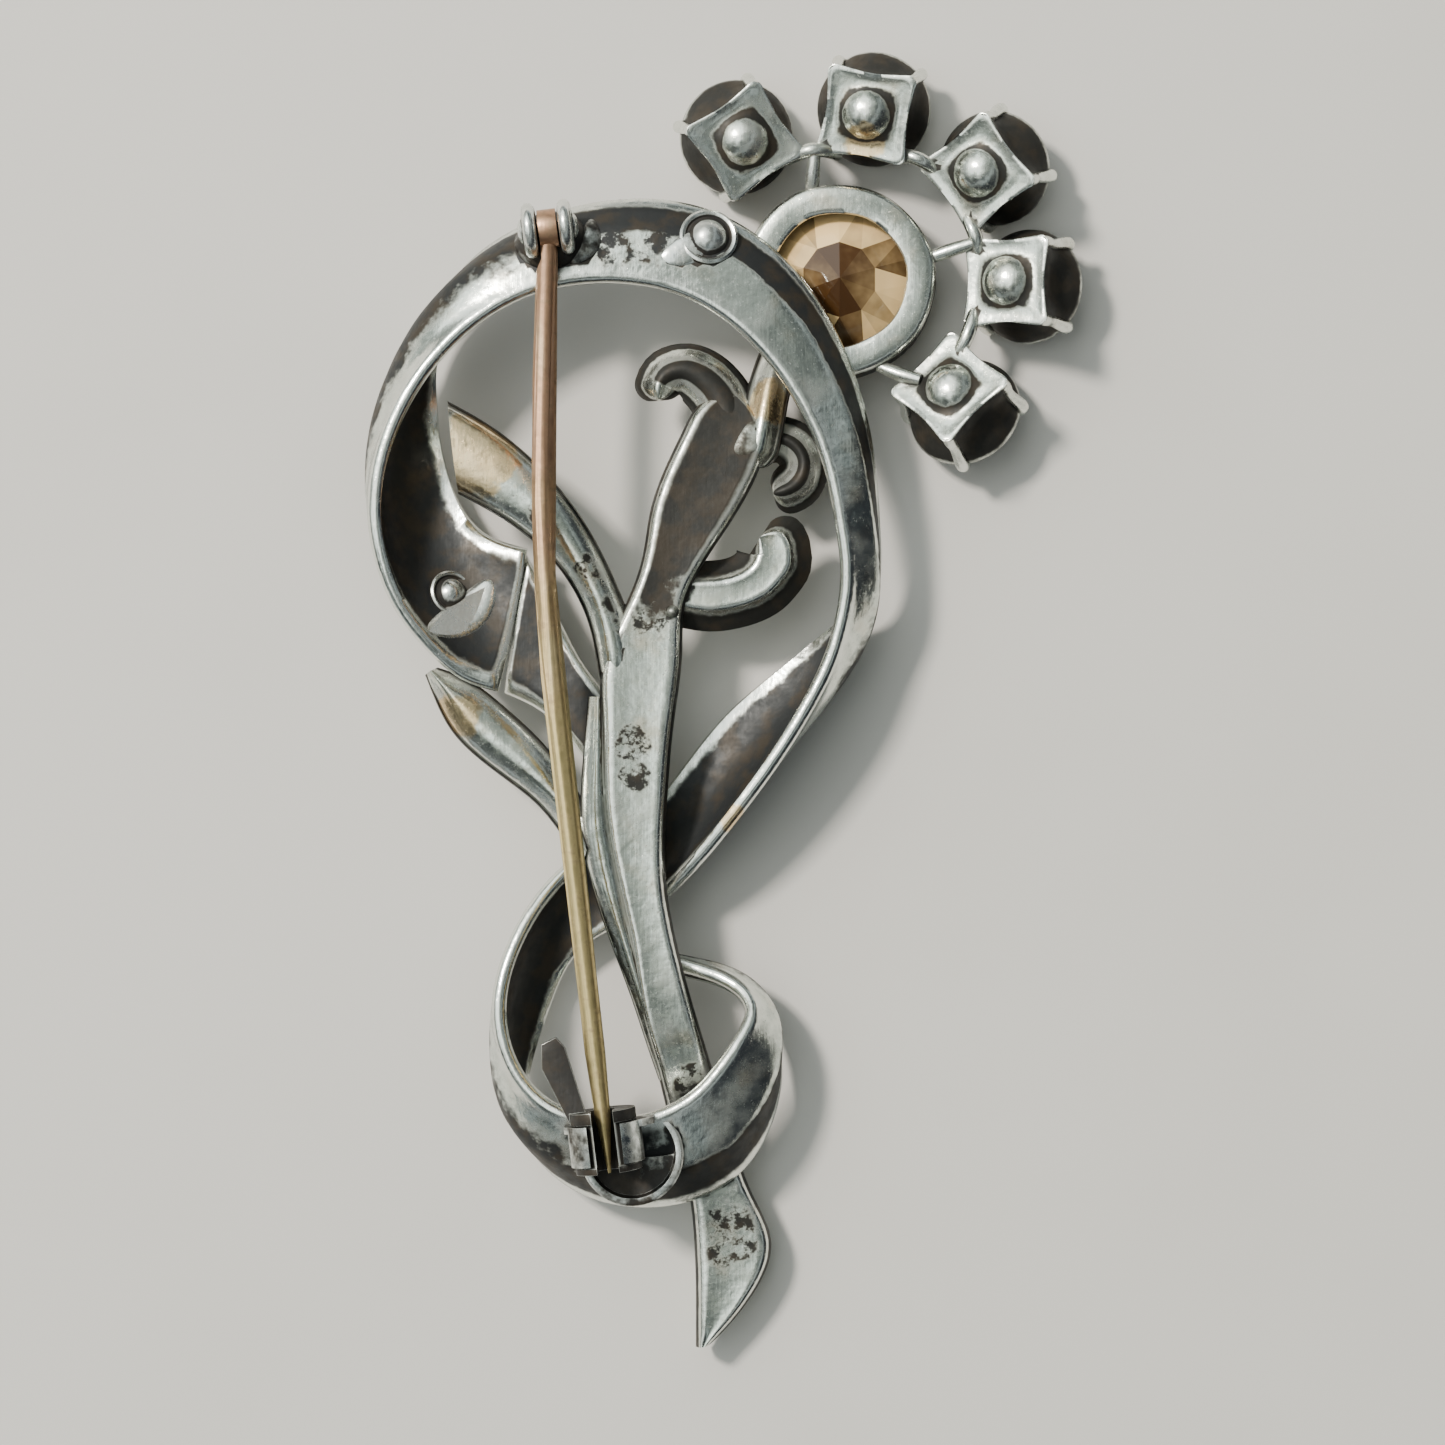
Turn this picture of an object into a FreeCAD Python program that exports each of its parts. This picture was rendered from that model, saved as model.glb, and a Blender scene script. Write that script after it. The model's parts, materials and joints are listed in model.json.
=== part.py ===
"""Floral ribbon brooch, lying face down with its back up: the working model.

Frame: +Z out of the brooch's back, +Y from the ribbon's tail towards the flower, +X to the right as the back
is seen. The origin is under the middle of the outline, on the surface that the brooch lies on.
All sizes are in millimetres.
"""

import FreeCAD, Part
import math
import os
import Sketcher
from FreeCAD import Placement, Rotation, Vector

DIMENSIONS = {
    # ribbons and cast bars
    "centre_x": 0.447,
    "centre_y": 0.62,
    "rest_level": -0.318,
    "ribbon_wall": 0.95,
    "bar_edge": 1.0,
    "rib_crown": 1.05,
    "ribbon_step": 2.5,
    "bar_step": 1.6,
    # flower
    "flower_x": 7.4,
    "flower_y": 26.1,
    "bezel_back": 3.9,
    "bezel_outer": 5.6,
    "bezel_window": 4.15,
    "bezel_seat": 5.25,
    "bezel_depth": 3.3,
    "bezel_web": 0.7,
    "centre_stone_radius": 5.2,
    "petal_back": 4.75,
    "cup_half": 2.7,
    "cup_waist": 2.4,
    "cup_plate": 0.75,
    "cup_dome": 1.55,
    "cup_dome_rise": 0.8,
    "petal_stone_radius": 3.1,
    "prong_width": 0.8,
    "link_radius": 0.42,
    # hinge and pin
    "hinge_x": -10.05,
    "hinge_y": 28.6,
    "pin_height": 8.5,
    "ear_radius": 1.65,
    "ear_width": 0.85,
    "ear_gap": 1.3,
    "hinge_plate": 1.1,
    "hinge_rivet_radius": 0.42,
    "eye_radius": 1.15,
    "eye_width": 1.1,
    "eye_hole": 0.47,
    "pin_radius": 0.62,
    "pin_heading": -1.9,
    "pin_bend": 8.8,
    "pin_bend_radius": 150.0,
    "upper_run": 8.7,
    "lower_run": 24.6,
    "pin_taper": 7.2,
    "taper_radius": 0.46,
    "pin_point": 3.2,
    "point_radius": 0.08,
    # catch
    "catch_from_point": 1.8,
    "housing_radius": 2.2,
    "housing_bore": 1.76,
    "housing_length": 2.4,
    "end_plate": 0.4,
    "slot_width": 1.7,
    "rotor_radius": 1.7,
    "rotor_bore": 0.78,
    "collar_radius": 1.98,
    "collar_length": 0.7,
    "collar_gap": 0.08,
    "far_flange": 0.4,
    "rotor_slot": 1.3,
    "cup_x": -5.1,
    "cup_y": -26.6,
    "cup_radius": 3.1,
    "cup_floor": 4.4,
    "cup_floor_top": 6.3,
    "cup_rim_top": 6.85,
    "lever_length": 4.6,
    "lever_thick": 0.7,
    # rivets
    "rivet_shank": 0.6,
    "rivet_head": 1.2,
    "rivet_rise": 0.75,
    "rivet_collar": 1.75,
}

doc = FreeCAD.newDocument("brooch")
sheet = doc.addObject("Spreadsheet::Sheet", "dims")
for row, (alias, value) in enumerate(DIMENSIONS.items(), start=1):
    sheet.set(f"A{row}", alias)
    sheet.set(f"B{row}", str(value))
    sheet.setAlias(f"B{row}", alias)
doc.recompute()


def dim(alias):
    """A driving dimension, read from the sheet."""
    return float(sheet.get(alias))


# ---------------------------------------------------------------- freeform bars and ribbons


def section(tangent, first, second, thick, rise_in, rise_out):
    """A closed wire across a ribbon: two edge points, an edge thickness, and how far each face bows out."""
    width = first.distanceToPoint(second)
    across = (second - first).normalize()
    normal = tangent.cross(across).normalize()
    half = thick / 2
    setback = min(half, width * 0.3)
    a, b = first + across * setback, second - across * setback
    middle = (first + second) / 2
    outer = Part.Arc(a + normal * half, middle + normal * (half + rise_out), b + normal * half)
    far_end = Part.Arc(b + normal * half, second, b - normal * half)
    inner = Part.Arc(b - normal * half, middle + normal * (rise_in - half), a - normal * half)
    near_end = Part.Arc(a - normal * half, first, a + normal * half)
    return Part.Wire([edge.toShape() for edge in (outer, far_end, inner, near_end)])


def through(points, marks):
    """A smooth curve that passes each point at its own mark."""
    curve = Part.BSplineCurve()
    curve.interpolate(Points=points, Parameters=marks)
    return curve


def strap_sections(stations, thick, spacing):
    """Closed sections, evenly spaced along stations of (edge point, other edge point, rise_in, rise_out)."""
    firsts = [Vector(*row[0]) for row in stations]
    seconds = [Vector(*row[1]) for row in stations]
    marks = [0.0]
    for i in range(1, len(stations)):
        here, before = firsts[i] + seconds[i], firsts[i - 1] + seconds[i - 1]
        marks.append(marks[-1] + here.distanceToPoint(before) / 2)
    rises = [Vector(row[2], row[3], mark) for row, mark in zip(stations, marks)]
    first_edge, second_edge, rise = (through(points, marks) for points in (firsts, seconds, rises))
    count = max(5, round(marks[-1] / spacing))
    wires = []
    for i in range(count + 1):
        mark = marks[-1] * i / count
        tangent = (first_edge.getD1(mark)[1] + second_edge.getD1(mark)[1]).normalize()
        rise_in, rise_out, _ = rise.value(mark)
        wires.append(section(tangent, first_edge.value(mark), second_edge.value(mark), thick, rise_in, rise_out))
    return wires


def loft(wires):
    """A smooth solid through closed sections."""
    solid = Part.makeLoft(wires, True, False)
    if solid.Volume < 0:
        solid.reverse()
    return solid


def bar(rows, thick, back_rise, front_rise, spacing):
    """A cast bar, nearly flat behind and crowned in front: rows of its two edges and its back height.

    Its rows run so that the first edge is on the right hand, seen from behind, of where the bar is heading.
    """
    widest = max(math.dist(a, b) for a, b, _ in rows)
    stations = []
    for a, b, height in rows:
        share = math.dist(a, b) / widest
        level = height - thick / 2 - back_rise
        stations.append(((*a, level), (*b, level), -back_rise * share, front_rise * share))
    return loft(strap_sections(stations, thick, spacing))


def feature(label, shape):
    """Keeps a shape as a document object of its own."""
    made = doc.addObject("Part::Feature", label)
    made.Label = label
    made.Shape = shape
    return made


# Each ribbon station: near edge, far edge, and how far the wall bows outwards there.
LOOP = [
    ((-13.2, 1.1, 5.0), (-11.5, 9.8, 3.4), 0.8),
    ((-15.3, 1.8, 5.3), (-12.9, 10.2, 2.8), 1.0),
    ((-17.4, 3.6, 5.9), (-14.4, 10.9, 2.2), 1.2),
    ((-19.2, 6.0, 6.4), (-15.8, 12.6, 1.6), 1.4),
    ((-20.3, 8.8, 6.8), (-16.7, 14.8, 1.2), 1.6),
    ((-20.7, 11.8, 7.0), (-17.2, 16.9, 1.0), 1.7),
    ((-20.2, 15.2, 7.1), (-17.4, 18.9, 1.0), 1.7),
    ((-18.8, 18.4, 7.2), (-17.5, 20.9, 1.2), 1.5),
    ((-16.6, 21.3, 7.2), (-17.0, 23.6, 1.8), 1.3),
    ((-13.1, 24.0, 7.2), (-14.9, 27.1, 3.2), 1.0),
    ((-9.4, 25.3, 7.2), (-10.5, 29.7, 4.6), 0.75),
    ((-5.8, 25.5, 7.2), (-5.6, 30.7, 5.3), 0.55),
    ((-2.3, 24.8, 7.2), (-0.9, 30.2, 5.5), 0.5),
    ((1.2, 22.7, 7.2), (3.9, 27.3, 5.4), 0.5),
    ((4.1, 19.4, 7.1), (7.4, 22.3, 5.0), 0.55),
    ((6.2, 15.3, 6.9), (9.2, 16.7, 4.5), 0.6),
    ((7.3, 10.8, 6.8), (9.7, 10.9, 3.5), 0.7),
    ((7.6, 7.0, 6.7), (9.2, 6.4, 2.2), 1.0),
    ((7.1, 3.9, 6.6), (7.5, 5.0, 1.1), 1.4),
    ((5.8, 0.6, 6.5), (4.6, 2.8, 0.7), 1.6),
    ((3.7, -3.0, 6.2), (1.3, 0.2, 0.8), 1.5),
    ((1.1, -6.6, 5.6), (-1.0, -2.3, 1.0), 1.3),
    ((-1.6, -9.9, 4.4), (-2.8, -4.6, 1.2), 0.9),
    ((-4.1, -12.2, 2.9), (-4.9, -6.6, 1.7), 0.5),
]
# The ring carries on from the loop's last station, where the ribbon turns over.
RING = [
    ((-6.5, -13.4, 2.1), (-7.7, -8.2, 2.9), 0.5),
    ((-8.6, -14.8, 1.5), (-10.3, -10.5, 4.2), 0.6),
    ((-9.8, -16.6, 1.1), (-12.2, -13.5, 5.3), 0.8),
    ((-10.6, -18.6, 0.9), (-13.2, -16.8, 6.0), 1.0),
    ((-11.6, -21.4, 0.8), (-12.9, -20.0, 6.3), 1.1),
    ((-12.0, -24.2, 0.9), (-11.6, -22.3, 6.5), 1.1),
    ((-11.0, -27.0, 1.4), (-9.8, -23.7, 6.7), 1.0),
    ((-8.5, -29.2, 2.1), (-7.6, -24.3, 6.7), 0.8),
    ((-5.2, -30.1, 2.7), (-5.2, -24.4, 6.7), 0.7),
    ((-1.8, -29.8, 3.0), (-3.1, -23.8, 6.7), 0.7),
    ((1.2, -28.2, 2.9), (-1.2, -22.6, 6.7), 0.8),
    ((3.0, -25.6, 2.4), (0.3, -20.9, 6.5), 0.9),
    ((3.7, -22.2, 1.8), (1.5, -19.2, 6.1), 0.9),
    ((3.1, -19.3, 1.3), (2.0, -17.8, 5.4), 0.7),
    ((1.5, -17.2, 0.9), (1.1, -16.6, 4.5), 0.5),
    ((-1.3, -16.1, 0.8), (-1.3, -15.6, 3.7), 0.3),
    ((-4.2, -15.6, 0.9), (-4.2, -14.8, 3.0), 0.2),
]


def ribbons():
    """The loop and the ring: one ribbon of even wall, hollowed inside as far as it bows outside."""
    rail = [(near, far, bow, bow) for near, far, bow in LOOP + RING]
    wires = strap_sections(rail, dim("ribbon_wall"), dim("ribbon_step"))
    turn = Vector(*LOOP[-1][0])
    join = min(range(len(wires)), key=lambda i: wires[i].distToShape(Part.Vertex(turn))[0])
    return feature("ribbon_loop", loft(wires[:join + 1])), feature("ribbon_ring", loft(wires[join:]))


ribbon_loop, ribbon_ring = ribbons()

# Cast bars: rows of right edge, left edge (as the bar heads from its root) and the height of its back.
STEM = [
    ((-2.2, 6.0), (-5.7, 6.0), 6.1), ((-2.3, 3.4), (-6.6, 3.4), 6.1), ((-2.8, -0.8), (-6.8, -0.8), 6.1),
    ((-3.2, -5.4), (-6.7, -5.4), 6.0), ((-3.3, -10.0), (-6.0, -10.0), 5.9), ((-2.6, -14.2), (-5.1, -14.2), 5.7),
    ((-1.6, -18.0), (-4.5, -18.0), 5.4), ((-0.4, -22.0), (-3.4, -22.0), 4.7), ((0.8, -26.2), (-2.4, -26.2), 3.5),
    ((2.0, -29.6), (-1.5, -29.6), 2.9), ((3.1, -32.4), (-1.2, -32.4), 2.7), ((2.2, -35.3), (-1.1, -35.3), 2.6),
    ((0.3, -37.8), (-1.1, -37.8), 2.5), ((-0.6, -38.8), (-1.1, -38.9), 2.4),
]
SIDE_STEM = [
    ((-6.7, 0.8), (-7.7, 0.8), 5.9), ((-6.5, -3.0), (-8.0, -3.0), 5.9), ((-6.3, -7.2), (-8.1, -7.2), 5.8),
    ((-5.7, -10.8), (-7.4, -10.8), 5.7), ((-4.9, -14.4), (-6.2, -14.4), 5.5), ((-4.3, -17.2), (-5.1, -17.2), 5.3),
]
CALYX = [
    ((-4.9, 5.6), (-2.2, 5.6), 6.1), ((-4.3, 9.0), (-0.8, 9.0), 6.0), ((-4.0, 12.0), (0.9, 11.6), 5.8),
    ((-2.9, 15.0), (2.4, 14.0), 5.7), ((-1.5, 18.0), (3.8, 16.5), 5.5),
]
LEAF_UPPER = [
    ((-5.0, 4.4), (-6.8, 1.2), 5.9), ((-6.3, 7.8), (-7.5, 4.8), 6.0), ((-8.2, 11.4), (-8.9, 7.9), 6.1),
    ((-10.9, 14.7), (-10.9, 10.2), 6.1), ((-13.6, 16.9), (-13.1, 11.8), 6.1), ((-16.2, 18.4), (-15.6, 13.2), 6.0),
]
LEAF_LOWER = [
    ((-7.6, -7.6), (-8.1, -9.3), 5.4), ((-8.6, -4.8), (-10.3, -6.1), 5.3), ((-10.6, -2.1), (-12.5, -4.2), 5.3),
    ((-12.7, -0.1), (-15.0, -2.2), 5.3), ((-14.9, 1.6), (-16.5, -0.2), 5.3), ((-17.0, 2.5), (-17.5, 2.2), 5.2),
]
NECK = [
    ((1.6, 16.6), (3.8, 16.2), 5.3), ((1.9, 18.9), (4.1, 18.5), 5.1), ((2.5, 21.0), (4.6, 20.4), 4.6),
    ((3.3, 23.0), (5.3, 22.0), 4.0),
]


def cast_bar(label, rows, back_rise=0.15):
    """A solid cast piece: nearly flat behind and crowned in front."""
    return feature(label, bar(rows, dim("bar_edge"), back_rise, dim("rib_crown"), dim("bar_step")))


stem = cast_bar("stem", STEM)
side_stem = cast_bar("side_stem", SIDE_STEM)
calyx = cast_bar("calyx", [(b, a, z) for a, b, z in CALYX])
leaf_upper = cast_bar("leaf_upper", LEAF_UPPER, 0.35)
leaf_lower = cast_bar("leaf_lower", LEAF_LOWER, 0.3)
flower_neck = cast_bar("flower_neck", [(b, a, z) for a, b, z in NECK])
ribbon_bridge = feature("ribbon_bridge", loft(strap_sections([
    ((-12.9, 1.0, 3.2), (-11.6, 9.5, 2.8), 0.3, 0.3),
    ((-11.0, 0.1, 3.4), (-10.0, 6.4, 3.2), 0.3, 0.3),
    ((-9.2, -1.4, 3.8), (-8.5, 3.4, 3.8), 0.3, 0.3),
    ((-7.0, -4.6, 4.2), (-6.2, 0.4, 4.2), 0.2, 0.2),
], dim("ribbon_wall"), dim("bar_step"))))


def tendril(points, radius, tip_radius):
    """A round bar along a smooth path, with a ball at its free end."""
    path = Part.BSplineCurve()
    path.interpolate(points)
    start = path.getD1(path.FirstParameter)[1]
    ring = Part.makeCircle(radius, points[0], start)
    rod = Part.Wire([path.toShape()]).makePipeShell([Part.Wire([ring])], True, False)
    return rod.fuse(Part.makeSphere(tip_radius, points[-1]))


def scroll(label, centres, back_radius, tip_radius, front_radius, drop):
    """A curled tendril: a slim back bead on a fuller front one, the front a little outside the back."""
    back = [Vector(*c) for c in centres]
    middle = Vector()
    for point in back:
        middle += point / len(back)
    front = []
    for i, point in enumerate(back):
        outwards = (point - middle).normalize() * (0.7 if i else 0.0)
        front.append(point + Vector(outwards.x, outwards.y, -drop))
    shape = tendril(back, back_radius, tip_radius).fuse(tendril(front, front_radius, front_radius + 0.15))
    return feature(label, shape.removeSplitter())


scroll_left = scroll("scroll_left", [(0.5, 17.2, 4.4), (0.0, 19.2, 4.4), (-1.1, 20.6, 4.4), (-2.6, 20.7, 4.4),
                                     (-3.5, 19.7, 4.4)], 0.95, 1.05, 1.3, 1.5)
scroll_right = scroll("scroll_right", [(2.2, 16.2, 3.6), (4.0, 16.4, 3.6), (5.1, 15.2, 3.5), (4.6, 13.7, 3.4),
                                       (3.3, 13.2, 3.3)], 0.9, 1.05, 1.2, 1.2)
scroll_lower = scroll("scroll_lower", [(-2.6, 7.6, 4.4), (-0.4, 7.0, 4.4), (1.6, 7.3, 4.4), (3.1, 8.4, 4.4),
                                       (3.5, 9.8, 4.4), (2.8, 10.7, 4.4)], 0.95, 1.2, 1.5, 1.7)

# ---------------------------------------------------------------- parametric helpers


def sketch_on(body, role, name):
    """An empty sketch on one of a body's own origin planes."""
    made = body.newObject("Sketcher::SketchObject", name)
    plane = next(o for o in body.Origin.OriginFeatures if o.Role == role)
    made.AttachmentSupport = (plane, [""])
    made.MapMode = "FlatFace"
    return made


def value_of(made, text):
    """What an expression of sheet cells comes to now."""
    found = made.evalExpression(text)
    return float(getattr(found, "Value", found))


def pin_point(made, geometry, end, x_text, y_text):
    """Fixes one point of a sketch at coordinates given as expressions."""
    for kind, text, axis in (("DistanceX", x_text, -2), ("DistanceY", y_text, -1)):
        if text == "0":
            made.addConstraint(Sketcher.Constraint("PointOnObject", geometry, end, axis))
            continue
        number = made.addConstraint(Sketcher.Constraint(kind, -1, 1, geometry, end, value_of(made, text)))
        made.setExpression(f"Constraints[{number}]", text)


def outline(made, points):
    """A closed polygon whose corners are pairs of expressions."""
    corners = [Vector(value_of(made, x), value_of(made, y), 0) for x, y in points]
    count = len(corners)
    lines = [made.addGeometry(Part.LineSegment(corners[i], corners[(i + 1) % count])) for i in range(count)]
    for i in range(count):
        made.addConstraint(Sketcher.Constraint("Coincident", lines[i], 2, lines[(i + 1) % count], 1))
    for line, (x, y) in zip(lines, points):
        pin_point(made, line, 1, x, y)


def circle(made, radius_text, x_text="0", y_text="0"):
    """A circle of a given radius expression about a point."""
    centre = Vector(value_of(made, x_text), value_of(made, y_text), 0)
    number = made.addGeometry(Part.Circle(centre, Vector(0, 0, 1), value_of(made, radius_text)))
    pin_point(made, number, 3, x_text, y_text)
    size = made.addConstraint(Sketcher.Constraint("Radius", number, value_of(made, radius_text)))
    made.setExpression(f"Constraints[{size}]", radius_text)


def new_body(label):
    """A body of its own for one sub-part."""
    body = doc.addObject("PartDesign::Body", label)
    body.Label = label
    return body


def pad(body, profile, length_text, midplane=False, reverse=False):
    """Pads a sketch by a length given as an expression."""
    made = body.newObject("PartDesign::Pad", "Pad")
    made.Profile = profile
    made.setExpression("Length", length_text)
    made.Midplane = midplane
    made.Reversed = reverse
    return made


def pocket_through(body, profile):
    """Cuts a sketch through the body both ways."""
    made = body.newObject("PartDesign::Pocket", "Pocket")
    made.Profile = profile
    made.Type = 1
    made.Midplane = True
    return made


def revolve(body, profile, kind="Revolution", axis="V_Axis"):
    """Turns a sketch through a full circle about one of its axes, adding or cutting."""
    made = body.newObject(f"PartDesign::{kind}", kind)
    made.Profile = profile
    made.ReferenceAxis = (profile, [axis])
    made.Angle = 360
    return made


# ---------------------------------------------------------------- stones


def brilliant(radius, sides, pavilion):
    """A round faceted stone, its girdle at z = 0 and its table down: table, crown, girdle and pavilion facets."""
    crown, depth, girdle = radius * 0.34, radius * pavilion, radius * 0.04

    def ring(count, r, z, phase):
        angles = [2 * math.pi * (i + phase) / count for i in range(count)]
        return [Vector(r * math.cos(a), r * math.sin(a), z) for a in angles]

    def facet(*corners):
        return Part.Face(Part.makePolygon([*corners, corners[0]]))

    table = ring(sides, radius * 0.56, -crown - girdle, 0)
    star = ring(sides, radius * 0.80, -crown * 0.52 - girdle, 0.5)
    lower = ring(2 * sides, radius, -girdle, 0)
    upper = ring(2 * sides, radius, girdle, 0)
    belt = ring(sides, radius * 0.44, girdle + depth * 0.62, 0.5)
    culet = Vector(0, 0, girdle + depth)
    faces = [facet(*table)]
    for i in range(sides):
        j, k, m = (i + 1) % sides, (2 * i) % (2 * sides), (2 * i + 1) % (2 * sides)
        after = (2 * i + 2) % (2 * sides)
        faces += [facet(table[i], star[i], table[j]), facet(table[i], star[i - 1], star[i])]
        faces += [facet(star[i - 1], lower[k], star[i]), facet(star[i], lower[k], lower[m])]
        faces += [facet(star[i], lower[m], lower[after])]
        faces += [facet(lower[k], lower[m], upper[m], upper[k]), facet(lower[m], lower[after], upper[after], upper[m])]
        faces += [facet(upper[k], upper[m], belt[i]), facet(upper[m], upper[after], belt[i])]
        faces += [facet(upper[after], belt[i], belt[j]), facet(belt[i], belt[j], culet)]
    return Part.Solid(Part.Shell(faces))


def stone(label, radius, sides, pavilion, placement):
    """A stone as an object of its own, placed where its cup holds it."""
    made = feature(label, brilliant(radius, sides, pavilion))
    made.Placement = placement
    return made


# ---------------------------------------------------------------- flower

flower_centre = Vector(dim("flower_x"), dim("flower_y"), 0)

flower_bezel = new_body("flower_bezel")
wall = sketch_on(flower_bezel, "XZ_Plane", "WallSection")
outline(wall, [
    ("dims.bezel_window", "0"),
    ("dims.bezel_outer - 0.3", "0"),
    ("dims.bezel_outer", "-0.3"),
    ("dims.bezel_outer + 0.35", "-dims.bezel_depth * 0.5"),
    ("dims.bezel_outer + 0.2", "-dims.bezel_depth"),
    ("dims.bezel_seat", "-dims.bezel_depth"),
    ("dims.bezel_seat", "-dims.bezel_web - 0.5"),
    ("dims.bezel_window", "-dims.bezel_web"),
])
revolve(flower_bezel, wall)
flower_bezel.Placement = Placement(flower_centre + Vector(0, 0, dim("bezel_back")), Rotation())

CENTRE_GIRDLE = 2.25  # how far the girdle lies below the bezel's back
centre_stone = stone("centre_stone", dim("centre_stone_radius") - 0.02, 10, 0.56,
                     Placement(flower_centre + Vector(0, 0, dim("bezel_back") - CENTRE_GIRDLE), Rotation()))

# Each petal: its bearing and distance from the flower's centre, how far it leans back, and towards where.
PETALS = [(124.8, 10.0, 14, 125), (80.7, 9.95, 16, 55), (37.2, 10.4, 24, 30), (-1.2, 10.0, 27, 0),
          (-45.0, 9.3, 29, -48)]
STONE_DEPTH = 3.45  # from a cup's back to its stone's girdle


def petal_placement(number):
    """Where a petal's cup sits, square to its bearing and leaning so that its front faces outwards."""
    bearing, distance, tilt, towards = PETALS[number]
    out = Rotation(Vector(0, 0, 1), bearing)
    axis = Rotation(Vector(0, 0, 1), towards).multVec(Vector(0, 1, 0))
    place = flower_centre + out.multVec(Vector(distance, 0, 0)) + Vector(0, 0, dim("petal_back"))
    return Placement(place, Rotation(axis, -tilt).multiply(out))


def petal_cup(number):
    """A square cup with a domed back, hollow sides and four claws that flare to hold a round stone."""
    body = new_body(f"petal_cup_{number + 1}")
    plate = sketch_on(body, "XY_Plane", "Plate")
    corner, waist = dim("cup_half") * math.sqrt(2), dim("cup_waist") / math.sqrt(2)
    turns = [(1, 0), (0, 1), (-1, 0), (0, -1)]
    for i, (x, y) in enumerate(turns):
        x2, y2 = turns[(i + 1) % 4]
        middle = Vector((x + x2) * waist, (y + y2) * waist, 0)
        plate.addGeometry(Part.Arc(Vector(x * corner, y * corner, 0), middle, Vector(x2 * corner, y2 * corner, 0)))
    pad(body, plate, "dims.cup_plate", reverse=True)
    dome = sketch_on(body, "XZ_Plane", "Dome")
    rise, base = dim("cup_dome_rise"), dim("cup_dome")
    dome.addGeometry(Part.LineSegment(Vector(0, -0.2, 0), Vector(base, -0.2, 0)))
    dome.addGeometry(Part.LineSegment(Vector(base, -0.2, 0), Vector(base, 0, 0)))
    dome.addGeometry(Part.Arc(Vector(base, 0, 0), Vector(base * 0.72, rise * 0.62, 0), Vector(0, rise, 0)))
    dome.addGeometry(Part.LineSegment(Vector(0, rise, 0), Vector(0, -0.2, 0)))
    revolve(body, dome)
    wall = sketch_on(body, "XZ_Plane", "Wall")
    outline(wall, [
        ("0", "-0.3"),
        ("dims.cup_waist", "-0.3"),
        ("dims.cup_waist + 0.1", "-1.4"),
        ("dims.petal_stone_radius + 0.4", "-2.9"),
        ("dims.petal_stone_radius + 0.4", "-3.75"),
        ("0", "-3.75"),
    ])
    revolve(body, wall)
    claw = sketch_on(body, "XZ_Plane", "Claw")
    outline(claw, [
        ("dims.cup_half * 1.414 - 1.6", "-0.05"),
        ("dims.cup_half * 1.414 - 0.08", "-0.05"),
        ("dims.cup_half * 1.414 - 0.25", "-1.2"),
        ("dims.petal_stone_radius + 0.85", "-2.7"),
        ("dims.petal_stone_radius + 0.7", "-3.9"),
        ("dims.petal_stone_radius - 0.45", "-4.35"),
        ("dims.petal_stone_radius - 0.9", "-2.2"),
    ])
    first = pad(body, claw, "dims.prong_width", midplane=True)
    doc.recompute()
    ring = body.newObject("PartDesign::PolarPattern", "Claws")
    ring.Originals = [first]
    ring.Axis = (plate, ["N_Axis"])
    ring.Angle = 360
    ring.Occurrences = 4
    body.Tip = ring
    doc.recompute()
    seat = sketch_on(body, "XZ_Plane", "Seat")
    outline(seat, [
        ("0", "-dims.cup_plate - 0.05"),
        ("dims.cup_waist - 0.45", "-dims.cup_plate - 0.05"),
        ("dims.cup_waist - 0.35", "-1.5"),
        ("dims.petal_stone_radius - 0.1", "-3.1"),
        ("dims.petal_stone_radius", "-3.27"),
        ("dims.petal_stone_radius", "-3.62"),
        ("dims.petal_stone_radius * 0.81", "-4.02"),
        ("dims.petal_stone_radius * 0.81", "-4.7"),
        ("0", "-4.7"),
    ])
    body.Tip = revolve(body, seat, "Groove")
    return body


petal_cups, petal_stones = [], []
for number in range(5):
    spot = petal_placement(number)
    cup = petal_cup(number)
    cup.Placement = spot.multiply(Placement(Vector(), Rotation(Vector(0, 0, 1), 45)))
    petal_cups.append(cup)
    petal_stones.append(stone(f"petal_stone_{number + 1}", dim("petal_stone_radius") - 0.02, 8, 0.74,
                              spot.multiply(Placement(Vector(0, 0, -STONE_DEPTH), Rotation()))))


def link(label, start, finish, radius_alias="link_radius"):
    """A straight round link between two points."""
    start, finish = Vector(*start), Vector(*finish)
    made = doc.addObject("Part::Cylinder", label)
    made.Label = label
    made.setExpression("Radius", f"dims.{radius_alias}")
    made.Height = start.distanceToPoint(finish)
    made.Placement = Placement(start, Rotation(Vector(0, 0, 1), finish - start))
    return made


links = [
    link("petal_link_1", (4.6, 33.6, 4.0), (7.0, 33.8, 4.0)),
    link("petal_link_2", (11.0, 33.7, 3.9), (13.3, 32.7, 3.9)),
    link("petal_link_3", (15.0, 29.9, 3.9), (15.9, 27.6, 3.9)),
    link("petal_link_4", (15.5, 24.3, 3.9), (14.5, 21.3, 3.9)),
    link("petal_strut_1", (5.9, 33.7, 4.0), (5.7, 31.2, 3.2)),
    link("petal_strut_3", (12.3, 27.3, 3.0), (15.4, 28.2, 3.8)),
    link("petal_strut_5", (9.8, 20.9, 3.1), (12.2, 20.0, 3.9)),
]

# ---------------------------------------------------------------- hinge and pin

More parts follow.
